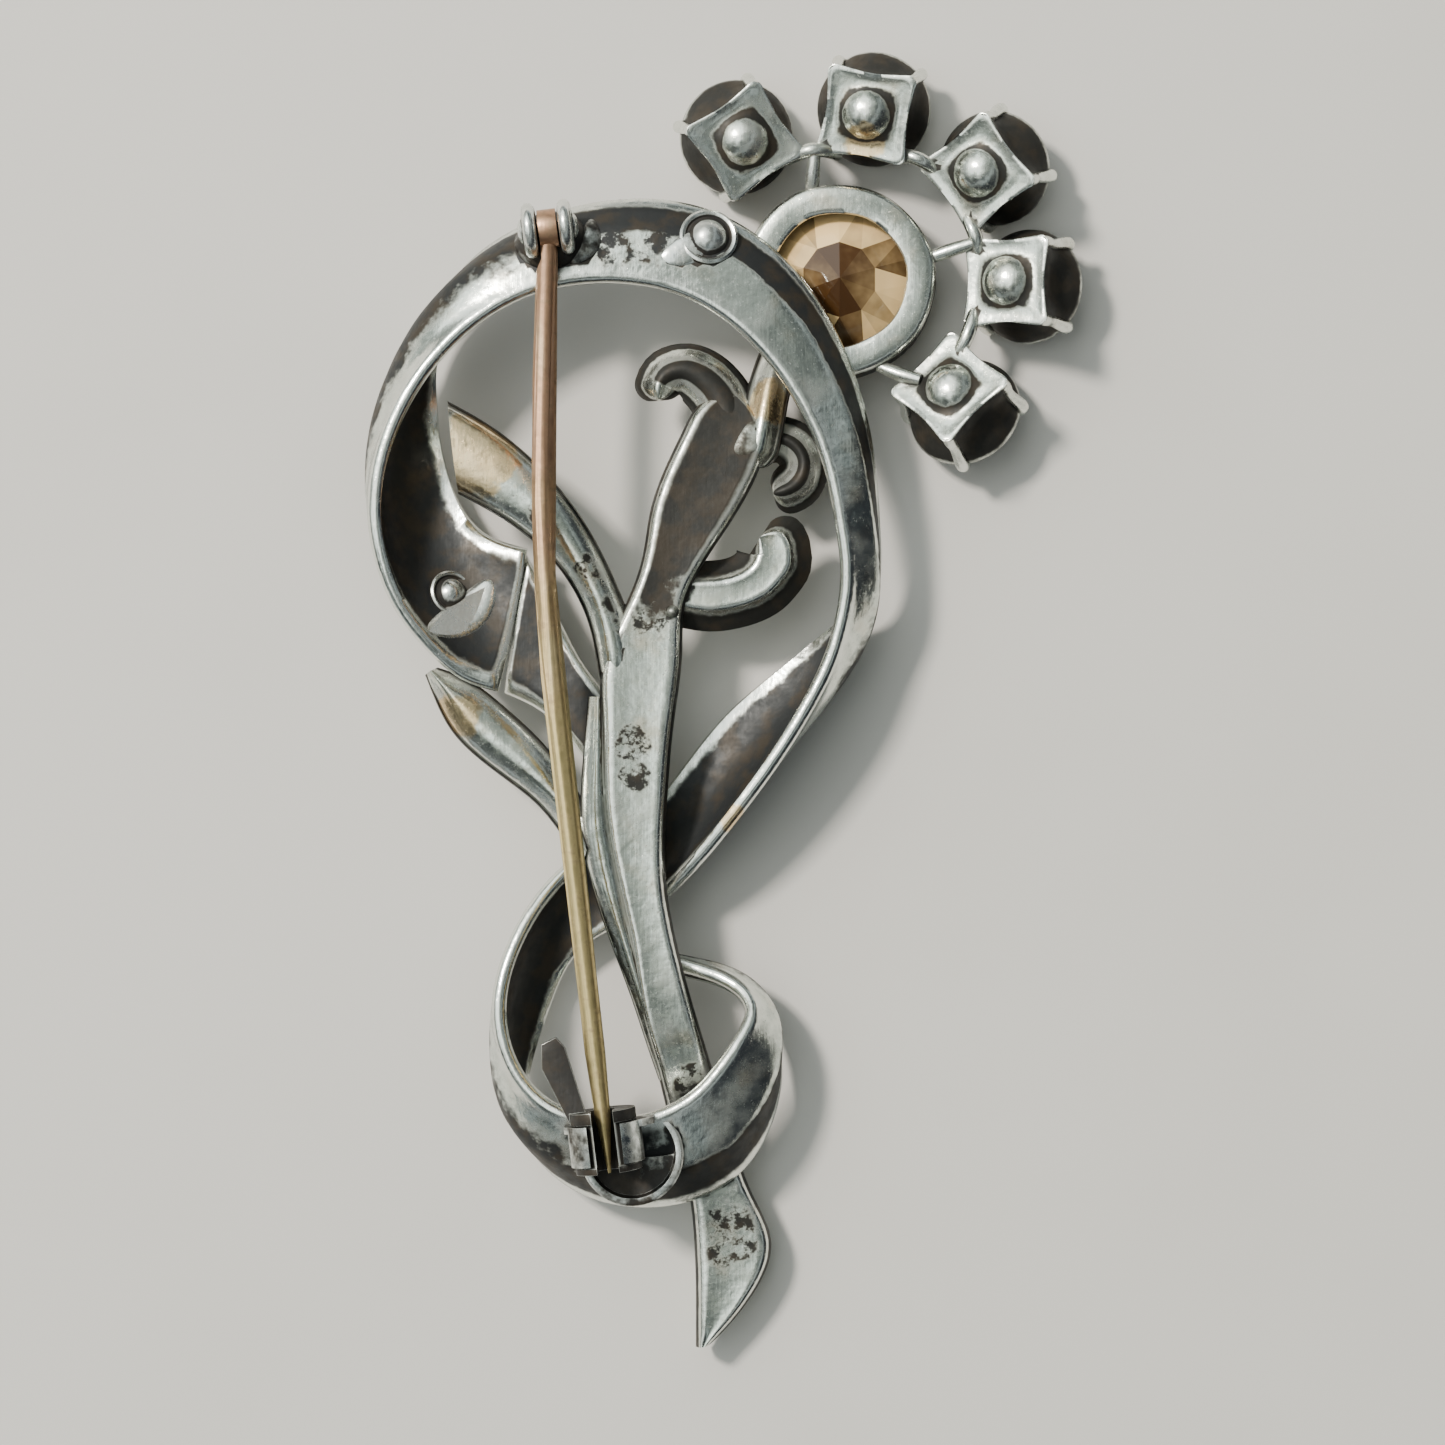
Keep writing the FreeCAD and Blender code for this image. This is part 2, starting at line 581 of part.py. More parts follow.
# The pin's own frame has its origin where the straight lower run starts, and its -Y along that run.
pin_swing = dim("pin_heading") + dim("pin_bend")  # heading of the lower run from -Y, in degrees
lower_turn = Rotation(Vector(0, 0, 1), pin_swing)
bend = math.radians(dim("pin_bend"))
radius, run = dim("pin_bend_radius"), dim("upper_run")
eye_centre = Vector(radius * (1 - math.cos(bend)) + run * math.sin(bend),
                    radius * math.sin(bend) + run * math.cos(bend), 0)
hinge_point = Vector(dim("hinge_x"), dim("hinge_y"), dim("pin_height"))
pin_frame = Placement(hinge_point - lower_turn.multVec(eye_centre), lower_turn)
hinge_frame = Placement(hinge_point, lower_turn)


def side_sketch(body, name, x_offset):
    """A sketch square to the hinge axis; its own x runs along the body's Y and its own y runs up."""
    made = sketch_on(body, "YZ_Plane", name)
    made.AttachmentOffset = Placement(Vector(0, 0, x_offset), Rotation())
    return made


def build_pin():
    """The sprung wire: flattened eye, upper run, long bend, straight lower run, taper and point."""
    body = new_body("pin_stem")
    shaft = sketch_on(body, "XY_Plane", "Shaft")
    outline(shaft, [
        ("0", "0"),
        ("dims.pin_radius", "0"),
        ("dims.pin_radius", "-dims.lower_run + dims.pin_taper"),
        ("dims.taper_radius", "-dims.lower_run + dims.pin_point"),
        ("dims.point_radius", "-dims.lower_run"),
        ("0", "-dims.lower_run"),
    ])
    revolve(body, shaft)
    doc.recompute()
    spine = sketch_on(body, "XY_Plane", "Spine")
    arc_end = Vector(radius * (1 - math.cos(bend)), radius * math.sin(bend), 0)
    arc_middle = Vector(radius * (1 - math.cos(bend / 2)), radius * math.sin(bend / 2), 0)
    spine.addGeometry(Part.Arc(Vector(), arc_middle, arc_end))
    spine.addGeometry(Part.LineSegment(arc_end, eye_centre))
    wire = sketch_on(body, "XZ_Plane", "Wire")
    circle(wire, "dims.pin_radius")
    pipe = body.newObject("PartDesign::AdditivePipe", "UpperRun")
    pipe.Profile = wire
    pipe.Spine = spine
    body.Tip = pipe
    doc.recompute()
    eye = side_sketch(body, "Eye", eye_centre.x)
    circle(eye, "dims.eye_radius", str(round(eye_centre.y, 6)))
    pad(body, eye, "dims.eye_width", midplane=True)
    hole = side_sketch(body, "EyeHole", eye_centre.x)
    circle(hole, "dims.eye_hole", str(round(eye_centre.y, 6)))
    pocket_through(body, hole)
    doc.recompute()
    middle, level = round(eye_centre.x, 6), round(eye_centre.y, 6)
    for name, sign in (("CheekRight", "+"), ("CheekLeft", "-")):
        flat = sketch_on(body, "XY_Plane", name)
        outline(flat, [
            (f"{middle} {sign} (dims.eye_width / 2 + 0.02)", f"{level} + dims.ear_radius + 0.5"),
            (f"{middle} {sign} (dims.eye_width / 2 + 0.02)", f"{level} - dims.ear_radius - 0.1"),
            (f"{middle} {sign} (dims.eye_width / 2 + 0.9)", f"{level} - dims.ear_radius - 1.6"),
            (f"{middle} {sign} (dims.eye_width / 2 + 0.9)", f"{level} + dims.ear_radius + 0.5"),
        ])
        doc.recompute()
        body.Tip = pocket_through(body, flat)
        doc.recompute()
    body.Placement = pin_frame
    return body


pin_stem = build_pin()


def build_hinge():
    """Two round ears on a small plate."""
    body = new_body("hinge_base")
    ears = sketch_on(body, "YZ_Plane", "Ears")
    circle(ears, "dims.ear_radius")
    pad(body, ears, "dims.ear_gap + 2 * dims.ear_width", midplane=True)
    foot = sketch_on(body, "YZ_Plane", "Foot")
    outline(foot, [
        ("-dims.ear_radius - 0.5", "-dims.ear_radius - dims.hinge_plate + 0.6"),
        ("dims.ear_radius - 0.5", "-dims.ear_radius - dims.hinge_plate"),
        ("dims.ear_radius", "-dims.ear_radius - dims.hinge_plate + 0.4"),
        ("dims.ear_radius", "-dims.ear_radius + 0.15"),
        ("-dims.ear_radius - 0.5", "-dims.ear_radius + 0.15"),
    ])
    pad(body, foot, "dims.ear_gap + 2 * dims.ear_width + 0.7", midplane=True)
    gap = sketch_on(body, "YZ_Plane", "Gap")
    outline(gap, [
        ("-dims.ear_radius - 1", "-dims.ear_radius + 0.15"),
        ("dims.ear_radius + 1", "-dims.ear_radius + 0.15"),
        ("dims.ear_radius + 1", "dims.ear_radius + 1"),
        ("-dims.ear_radius - 1", "dims.ear_radius + 1"),
    ])
    doc.recompute()
    slot = body.newObject("PartDesign::Pocket", "Slot")
    slot.Profile = gap
    slot.Type = 0
    slot.setExpression("Length", "dims.ear_gap")
    slot.Midplane = True
    doc.recompute()
    holes = sketch_on(body, "YZ_Plane", "RivetHole")
    circle(holes, "dims.hinge_rivet_radius")
    body.Tip = pocket_through(body, holes)
    body.Placement = hinge_frame
    return body


hinge_base = build_hinge()


def build_hinge_rivet():
    """A plain rivet through both ears, with a low head at each end."""
    body = new_body("hinge_rivet")
    profile = sketch_on(body, "XY_Plane", "Section")
    half = "(dims.ear_gap / 2 + dims.ear_width)"
    outline(profile, [
        (f"-{half} - 0.32", "0"),
        (f"-{half} - 0.32", "0.45"),
        (f"-{half} - 0.02", "0.75"),
        (f"-{half}", "0.75"),
        (f"-{half}", "dims.hinge_rivet_radius"),
        (half, "dims.hinge_rivet_radius"),
        (half, "0.75"),
        (f"{half} + 0.02", "0.75"),
        (f"{half} + 0.32", "0.45"),
        (f"{half} + 0.32", "0"),
    ])
    body.Tip = revolve(body, profile, "Revolution", "H_Axis")
    body.Placement = hinge_frame
    return body


hinge_rivet = build_hinge_rivet()

# ---------------------------------------------------------------- catch

# The catch's frame has its origin mid-housing on the pin's axis; the same -Y along the pin.
catch_frame = pin_frame.multiply(Placement(Vector(0, -dim("lower_run") + dim("catch_from_point"), 0), Rotation()))


def build_housing():
    """A barrel split along its top, on a foot, that the turning barrel is held in."""
    body = new_body("catch_housing")
    barrel = sketch_on(body, "XZ_Plane", "Barrel")
    circle(barrel, "dims.housing_radius")
    pad(body, barrel, "dims.housing_length", midplane=True)
    foot = sketch_on(body, "XZ_Plane", "Foot")
    outline(foot, [
        ("-1.3", "-dims.pin_height + dims.cup_floor_top"),
        ("1.3", "-dims.pin_height + dims.cup_floor_top"),
        ("1.75", "-1.2"),
        ("-1.75", "-1.2"),
    ])
    pad(body, foot, "dims.housing_length", midplane=True)
    plate = sketch_on(body, "XZ_Plane", "EndPlate")
    plate.AttachmentOffset = Placement(Vector(0, 0, -dim("housing_length") / 2), Rotation())
    outline(plate, [
        ("-2.4", "-1.9"),
        ("3.0", "-1.9"),
        ("3.0", "-0.2"),
        ("2.3", "0.75"),
        ("-1.9", "0.75"),
        ("-2.4", "0.2"),
    ])
    pad(body, plate, "dims.end_plate")
    bore = sketch_on(body, "XZ_Plane", "Bore")
    circle(bore, "dims.housing_bore")
    doc.recompute()
    pocket_through(body, bore)
    mouth = sketch_on(body, "XZ_Plane", "Mouth")
    outline(mouth, [
        ("-dims.slot_width / 2", "0"),
        ("dims.slot_width / 2", "0"),
        ("dims.slot_width / 2 + 0.25", "dims.housing_radius + 1"),
        ("-dims.slot_width / 2 - 0.25", "dims.housing_radius + 1"),
    ])
    doc.recompute()
    body.Tip = pocket_through(body, mouth)
    body.Placement = catch_frame
    return body


catch_housing = build_housing()


def build_rotor():
    """The turning barrel: slotted, with a flange outside each end of the housing and a lever on the near one."""
    body = new_body("catch_rotor")
    profile = sketch_on(body, "XY_Plane", "Section")
    near = "dims.housing_length / 2 + dims.collar_gap"
    far = "-dims.housing_length / 2 - dims.collar_gap"
    outline(profile, [
        ("dims.rotor_bore", f"{near} + dims.collar_length"),
        ("dims.collar_radius", f"{near} + dims.collar_length"),
        ("dims.collar_radius", near),
        ("dims.rotor_radius", near),
        ("dims.rotor_radius", far),
        ("dims.collar_radius", far),
        ("dims.collar_radius", f"{far} - dims.far_flange"),
        ("dims.rotor_bore", f"{far} - dims.far_flange"),
    ])
    revolve(body, profile)
    doc.recompute()
    lever = sketch_on(body, "XY_Plane", "Lever")
    end = "dims.housing_length / 2 + dims.collar_gap + dims.collar_length"
    outline(lever, [
        ("-1.0", "dims.housing_length / 2 + dims.collar_gap"),
        ("-1.0", end),
        ("-1.75", f"{end} + dims.lever_length * 0.86"),
        ("-2.2", f"{end} + dims.lever_length"),
        ("-3.1", f"{end} + dims.lever_length * 0.93"),
        ("-3.25", f"{end} + dims.lever_length * 0.62"),
        ("-1.95", "dims.housing_length / 2 + dims.collar_gap"),
    ])
    made = pad(body, lever, "dims.lever_thick", midplane=True)
    doc.recompute()
    mouth = sketch_on(body, "XZ_Plane", "Mouth")
    outline(mouth, [
        ("-dims.rotor_slot / 2", "0"),
        ("dims.rotor_slot / 2", "0"),
        ("dims.rotor_slot / 2", "dims.collar_radius + 1"),
        ("-dims.rotor_slot / 2", "dims.collar_radius + 1"),
    ])
    body.Tip = pocket_through(body, mouth)
    body.Placement = catch_frame
    return body


catch_rotor = build_rotor()


def build_catch_cup():
    """The round dish that the housing stands in, with a raised rim."""
    body = new_body("catch_cup")
    profile = sketch_on(body, "XZ_Plane", "Section")
    outline(profile, [
        ("0", "dims.cup_floor"),
        ("dims.cup_radius - 0.5", "dims.cup_floor"),
        ("dims.cup_radius", "dims.cup_floor_top"),
        ("dims.cup_radius", "dims.cup_rim_top - 0.15"),
        ("dims.cup_radius - 0.15", "dims.cup_rim_top"),
        ("dims.cup_radius - 0.45", "dims.cup_rim_top"),
        ("dims.cup_radius - 0.6", "dims.cup_floor_top"),
        ("0", "dims.cup_floor_top"),
    ])
    body.Tip = revolve(body, profile)
    body.Placement = Placement(Vector(dim("cup_x"), dim("cup_y"), 0), Rotation())
    return body


catch_cup = build_catch_cup()

# ---------------------------------------------------------------- rivets in the ribbon


def ribbon_rivet(label, centre, axis):
    """A domed rivet through the ribbon's wall: a washer, a round head, a shank and a small set tail."""
    shank, head = dim("rivet_shank"), dim("rivet_head")
    rise, collar, wall = dim("rivet_rise"), dim("rivet_collar"), dim("ribbon_wall")
    ball = (head ** 2 + rise ** 2) / (2 * rise)
    cap = Part.makeSphere(ball, Vector(0, 0, rise - ball)).common(Part.makeCylinder(head, rise, Vector()))
    washer = Part.makeCylinder(collar, 0.3, Vector(0, 0, -0.12)).cut(Part.makeCylinder(head - 0.1, 1, Vector(0, 0, 0)))
    tail = Part.makeCone(shank + 0.35, shank + 0.15, 0.3, Vector(0, 0, -wall - 0.1), Vector(0, 0, -1))
    body = Part.makeCylinder(shank, wall + 0.2, Vector(0, 0, -wall - 0.15)).fuse([cap, washer, tail])
    made = feature(label, body.removeSplitter())
    made.Placement = Placement(Vector(*centre), Rotation(Vector(0, 0, 1), Vector(*axis)))
    return made


rivet_flower = ribbon_rivet("rivet_flower", (-0.5, 28.3, 6.9), (0.1, 0.3, 0.95))
rivet_ribbon = ribbon_rivet("rivet_ribbon", (-16.1, 7.1, 3.5), (0.44, 0.25, 0.85))

# ---------------------------------------------------------------- solder fits

doc.recompute()


def soldered(piece, *neighbours, keep=lambda solid: solid.Volume):
    """A piece cut to the shape of what it is soldered onto, so that the two meet and don't overlap."""
    shape = piece.Shape
    for neighbour in neighbours:
        if shape.common(neighbour.Shape).Volume > 1e-4:
            shape = shape.cut(neighbour.Shape)
    if len(shape.Solids) > 1:
        shape = max(shape.Solids, key=keep)
    if piece.TypeId == "Part::Feature":
        piece.Placement = Placement()
        piece.Shape = shape
        return piece
    label = piece.Label
    piece.Label = label + "_blank"
    return feature(label, shape)


def highest(solid):
    """How high a solid reaches: what is kept of a piece that stands on the back."""
    return solid.BoundBox.ZMax


def clear_of_barrel(piece):
    """A piece relieved where the turning barrel and its flanges sweep."""
    length = dim("housing_length") + 2 * dim("collar_gap") + dim("collar_length") + dim("far_flange") + 0.2
    start = -dim("housing_length") / 2 - dim("collar_gap") - dim("far_flange") - 0.1
    sweep = Part.makeCylinder(dim("collar_radius") + 0.1, length, Vector(0, start, 0), Vector(0, 1, 0))
    sweep.Placement = catch_frame.multiply(sweep.Placement)
    piece.Shape = max(piece.Shape.cut(sweep).Solids, key=lambda solid: solid.Volume)
    return piece


def outermost(solid):
    """How far a solid lies towards the brooch's tail."""
    return -solid.CenterOfMass.y


catch_cup = soldered(catch_cup, ribbon_ring, keep=outermost)
ribbon_ring = clear_of_barrel(ribbon_ring)
ribbon_loop = soldered(ribbon_loop, rivet_flower, rivet_ribbon)
ribs = [ribbon_loop, ribbon_ring]
stem = soldered(stem, *ribs)
side_stem = soldered(side_stem, stem, *ribs)
calyx = soldered(calyx, stem, *ribs)
leaf_upper = soldered(leaf_upper, stem, calyx, side_stem, *ribs)
leaf_lower = soldered(leaf_lower, stem, side_stem, *ribs)
ribbon_bridge = soldered(ribbon_bridge, stem, side_stem, leaf_upper, leaf_lower, *ribs)
flower_neck = soldered(flower_neck, calyx, *ribs)
growth = [stem, calyx, flower_neck, *ribs]
scroll_left = soldered(scroll_left, *growth)
scroll_right = soldered(scroll_right, *growth, scroll_left)
scroll_lower = soldered(scroll_lower, *growth, scroll_right)
flower_bezel = soldered(flower_bezel, flower_neck, scroll_right, *ribs)
for number, cup in enumerate(petal_cups):
    petal_cups[number] = soldered(cup, flower_bezel, ribbon_loop, *petal_cups[:number])
links = [soldered(piece, flower_bezel, *petal_cups, *links[:i]) for i, piece in enumerate(links)]
hinge_base = soldered(hinge_base, ribbon_loop, keep=highest)
catch_cup = clear_of_barrel(soldered(catch_cup, stem, keep=outermost))
catch_housing = soldered(catch_housing, catch_cup, ribbon_ring)

pieces = [
    ribbon_loop, ribbon_ring, ribbon_bridge, stem, side_stem, calyx, leaf_upper, leaf_lower, flower_neck,
    scroll_left, scroll_right, scroll_lower, flower_bezel, centre_stone, *petal_cups, *petal_stones, *links,
    rivet_flower, rivet_ribbon, hinge_base, hinge_rivet, pin_stem, catch_cup, catch_housing, catch_rotor,
]
doc.recompute()
for item in doc.Objects:
    if {"Invalid", "Error"} & set(item.State):
        raise RuntimeError(f"{item.Label}: {item.State}")
os.makedirs("parts", exist_ok=True)
origin = Vector(dim("centre_x"), dim("centre_y"), dim("rest_level"))
for piece in pieces:
    piece.Placement = Placement(-origin, Rotation()).multiply(piece.Placement)
    shape = piece.Shape
    if shape.isNull() or not shape.isValid() or shape.Volume <= 0:
        raise RuntimeError(f"{piece.Label}: its solid is not sound")
    if len(shape.Solids) != 1:
        print(piece.Label, "has", len(shape.Solids), "solids")
    shape.exportStep(f"parts/{piece.Label}.step")
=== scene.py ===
import bpy
import bmesh
import json
import math
import numpy as np
from mathutils import Matrix, Vector
from mathutils.bvhtree import BVHTree


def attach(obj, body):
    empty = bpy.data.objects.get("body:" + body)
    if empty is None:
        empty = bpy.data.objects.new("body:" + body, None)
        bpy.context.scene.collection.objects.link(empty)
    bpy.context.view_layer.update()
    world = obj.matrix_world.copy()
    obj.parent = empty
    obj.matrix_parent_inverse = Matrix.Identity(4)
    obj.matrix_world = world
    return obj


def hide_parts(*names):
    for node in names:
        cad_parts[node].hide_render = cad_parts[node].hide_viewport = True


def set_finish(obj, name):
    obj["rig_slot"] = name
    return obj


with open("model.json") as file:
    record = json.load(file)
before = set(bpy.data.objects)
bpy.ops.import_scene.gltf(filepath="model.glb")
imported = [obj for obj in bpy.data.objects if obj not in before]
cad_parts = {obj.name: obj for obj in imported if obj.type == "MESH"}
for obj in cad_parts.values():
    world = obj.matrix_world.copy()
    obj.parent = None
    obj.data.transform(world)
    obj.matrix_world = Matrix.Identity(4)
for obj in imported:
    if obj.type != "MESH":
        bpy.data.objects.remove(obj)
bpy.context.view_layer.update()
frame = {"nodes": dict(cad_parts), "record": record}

MM = 0.001
# Outlines are drawn in millimetres about an origin of their own. The frame's origin lies here in them.
DRAWN_ORIGIN = np.array((0.447, 0.62, -0.318))
UP = np.array((0, 0, 1.0))
made = []  # every shown piece but the stones

# Smoothing angles, in degrees: a sharper edge than this between two faces stays sharp.
RIBBON_EDGE, CAST_EDGE, CUP_EDGE, FITTING_EDGE, RING_EDGE, CUT_EDGE = 50, 62, 60, 50, 45, 32

# ------------------------------------------------------------------ mesh helpers


def spline(marks, values, at):
    """A natural cubic through rows of values at their marks, read at other marks."""
    count, gap = len(marks), np.diff(marks)
    system, right = np.zeros((count, count)), np.zeros_like(values)
    system[0, 0] = system[-1, -1] = 1
    for i in range(1, count - 1):
        system[i, i - 1:i + 2] = gap[i - 1], 2 * (gap[i - 1] + gap[i]), gap[i]
        right[i] = 6 * ((values[i + 1] - values[i]) / gap[i] - (values[i] - values[i - 1]) / gap[i - 1])
    bend = np.linalg.solve(system, right)
    i = np.clip(np.searchsorted(marks, at, side="right") - 1, 0, count - 2)
    after, before, width = (at - marks[i])[:, None], (marks[i + 1] - at)[:, None], gap[i][:, None]
    curve = (bend[i] * before**3 + bend[i + 1] * after**3) / (6 * width)
    return curve + (values[i] / width - bend[i] * width / 6) * before \
        + (values[i + 1] / width - bend[i + 1] * width / 6) * after


def unit(rows):
    return rows / np.maximum(np.linalg.norm(rows, axis=-1, keepdims=True), 1e-9)


def lengths(path):
    """How far along a path each of its points lies."""
    return np.concatenate([[0], np.cumsum(np.linalg.norm(np.diff(path, axis=0), axis=1))])


def store(mesh, key, values):
    """Keeps one number for each point of a mesh, for its material to read."""
    mesh.attributes.new(key, "FLOAT", "POINT").data.foreach_set("value", np.asarray(values, np.float32))


def place_object(name, data):
    """A new object in the scene that shows the data."""
    item = bpy.data.objects.new(name, data)
    bpy.context.scene.collection.objects.link(item)
    return item


def add_piece(name, parts, body, nodes, slot, smooth_angle):
    """One object from parts of (points in mm, faces, rim brightness from handling and painted highlight,
    patina and painted shade), tied to its body and nodes.
    """
    points, faces, edge, dark = [], [], [], []
    for part_points, part_faces, part_edge, part_dark in parts:
        start = len(points)
        points += [tuple(p) for p in (np.asarray(part_points, float) - DRAWN_ORIGIN) * MM]
        faces += [tuple(start + i for i in face) for face in part_faces]
        edge += list(part_edge)
        dark += list(part_dark)
    mesh = bpy.data.meshes.new(name)
    mesh.from_pydata(points, [], faces)
    store(mesh, "edge", edge)
    store(mesh, "dark", dark)
    finish_piece(name, mesh, body, nodes, slot, smooth_angle)


def finish_piece(name, mesh, body, nodes, slot, smooth_angle):
    """Orients and smooths a mesh, makes its object, and ties it to its body, its nodes and its finish."""
    work = bmesh.new()
    work.from_mesh(mesh)
    bmesh.ops.recalc_face_normals(work, faces=work.faces)
    limit = math.radians(smooth_angle)
    for face in work.faces:
        face.smooth = True
    for e in work.edges:
        e.smooth = len(e.link_faces) == 2 and e.calc_face_angle(0) < limit
    work.to_mesh(mesh)
    work.free()
    made_object = place_object(name, mesh)
    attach(made_object, body)
    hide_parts(*nodes)
    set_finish(made_object, slot)
    made.append(made_object)


def ring_faces(rows, columns, capped=True):
    """Quads between rings of points, with a cap on the first and the last ring."""
    faces = []
    for i in range(rows - 1):
        for j in range(columns):
            k = (j + 1) % columns
            faces.append((i * columns + j, i * columns + k, (i + 1) * columns + k, (i + 1) * columns + j))
    if capped:
        faces += [tuple(range(columns)), tuple((rows - 1) * columns + j for j in reversed(range(columns)))]
    return faces


STEP = 0.3  # between the rings of a ribbon or a cast bar
NUDGE = 0.01  # how far to either side a ribbon's direction is read
RIBBON_WALL = 0.95
CREASE_SOFTNESS = 0.012
END_WEAR = 0.3  # how far from a free end a ribbon is rubbed bright and painted lighter as a highlight


def ribbon_section(count=13, corner=6):
    """Across a ribbon: (share of the way to the far edge, side) for each point, with round rims."""
    outline = []
    for k in range(count):
        outline.append((k / (count - 1), 1.0))
    for k in range(1, corner):
        outline.append((1.0, math.cos(math.pi * k / corner)))
    for k in range(count):
        outline.append((1 - k / (count - 1), -1.0))
    for k in range(1, corner):
        outline.append((0.0, -math.cos(math.pi * k / corner)))
    return outline


def ribbon(name, rows, nodes, creased, crest=0.56, cut=(0, -1), blunt=(True, True), turned=False):
    """A ribbon of even wall along rows of (near edge, far edge, bow): rounded rims and blunt ends.

    creased gives, for each row, how far the bow sharpens from an even arch to a crease at the crest; the
    outer face past the crest is painted dark there as shade. turned tells that the crest is measured from the
    far edge.
    cut is the first and the last row that this piece reaches, and blunt tells which of its ends are thinned,
    as free ends are. The inner face and the outer face towards the far edge are painted darker as shade, and
    the rims and free ends are rubbed bright and painted lighter as a highlight.
    """
    first = np.array([r[0] for r in rows], float)
    second = np.array([r[1] for r in rows], float)
    bows = np.array([[r[2], c] for r, c in zip(rows, creased)], float)
    middle = (first + second) / 2
    marks = lengths(middle)
    low, high = marks[cut[0]], marks[cut[1]]
    at = np.linspace(low, high, int((high - low) / STEP) + 2)
    a, b, bow = (spline(marks, v, at) for v in (first, second, bows))
    ahead, behind = np.clip(at + NUDGE, 0, marks[-1]), np.clip(at - NUDGE, 0, marks[-1])
    run = unit(spline(marks, middle, ahead) - spline(marks, middle, behind))
    across = unit(b - a)
    out = unit(np.cross(run, across))
    half, width = RIBBON_WALL / 2, np.linalg.norm(b - a, axis=1)
    thinned = half * 0.6
    points, edge, dark = [], [], []
    outline = ribbon_section()
    for i in range(len(at)):
        from_end = min(at[i] - low if blunt[0] else math.inf, high - at[i] if blunt[1] else math.inf)
        squeeze = 1.0
        if from_end < thinned:
            squeeze = 0.45 + 0.55 * math.sqrt(max(0.0, 1 - (1 - from_end / thinned) ** 2))
        fold = min(1.0, max(0.0, bow[i, 1]))
        for s, side in outline:
            reach = half + s * (width[i] - 2 * half)
            arch = 1 - (2 * s - 1) ** 2
            q = 1 - s if turned else s
            up, down = q / crest, (1 - q) / (1 - crest)
            roof = (up + down - math.sqrt((up - down) ** 2 + CREASE_SOFTNESS)) / 2
            lift = bow[i, 0] * (arch * (1 - fold) + roof * fold)
            if abs(side) < 0.999:
                reach += math.copysign(math.sqrt(1 - side * side) * half, s - 0.5)
            points.append(a[i] + across[i] * reach + out[i] * (lift + half * side * squeeze))
            # Rims, and the rows near a free end, are rubbed bright and painted lighter as a highlight.
            rim = max(0.0, 1 - min(s, 1 - s) * 8)
            edge.append(max(rim, 1.0 if from_end < END_WEAR else 0.0))
            # Painted shade: the inner face is darkened, and the outer face darker towards the far edge and
            # past the crease.
            if side < 0:
                dark.append(0.85 * (1 - rim))
            else:
                past = min(1.0, max(0.0, (q - crest) / 0.07))
                dark.append((min(0.95, 0.12 + 1.3 * q) * (1 - fold) + 0.95 * fold * past) * (1 - rim) + 0.04)
    faces = ring_faces(len(at), len(outline))
    add_piece(name, [(points, faces, edge, dark)], "brooch", nodes, "silver_ribbon", RIBBON_EDGE)


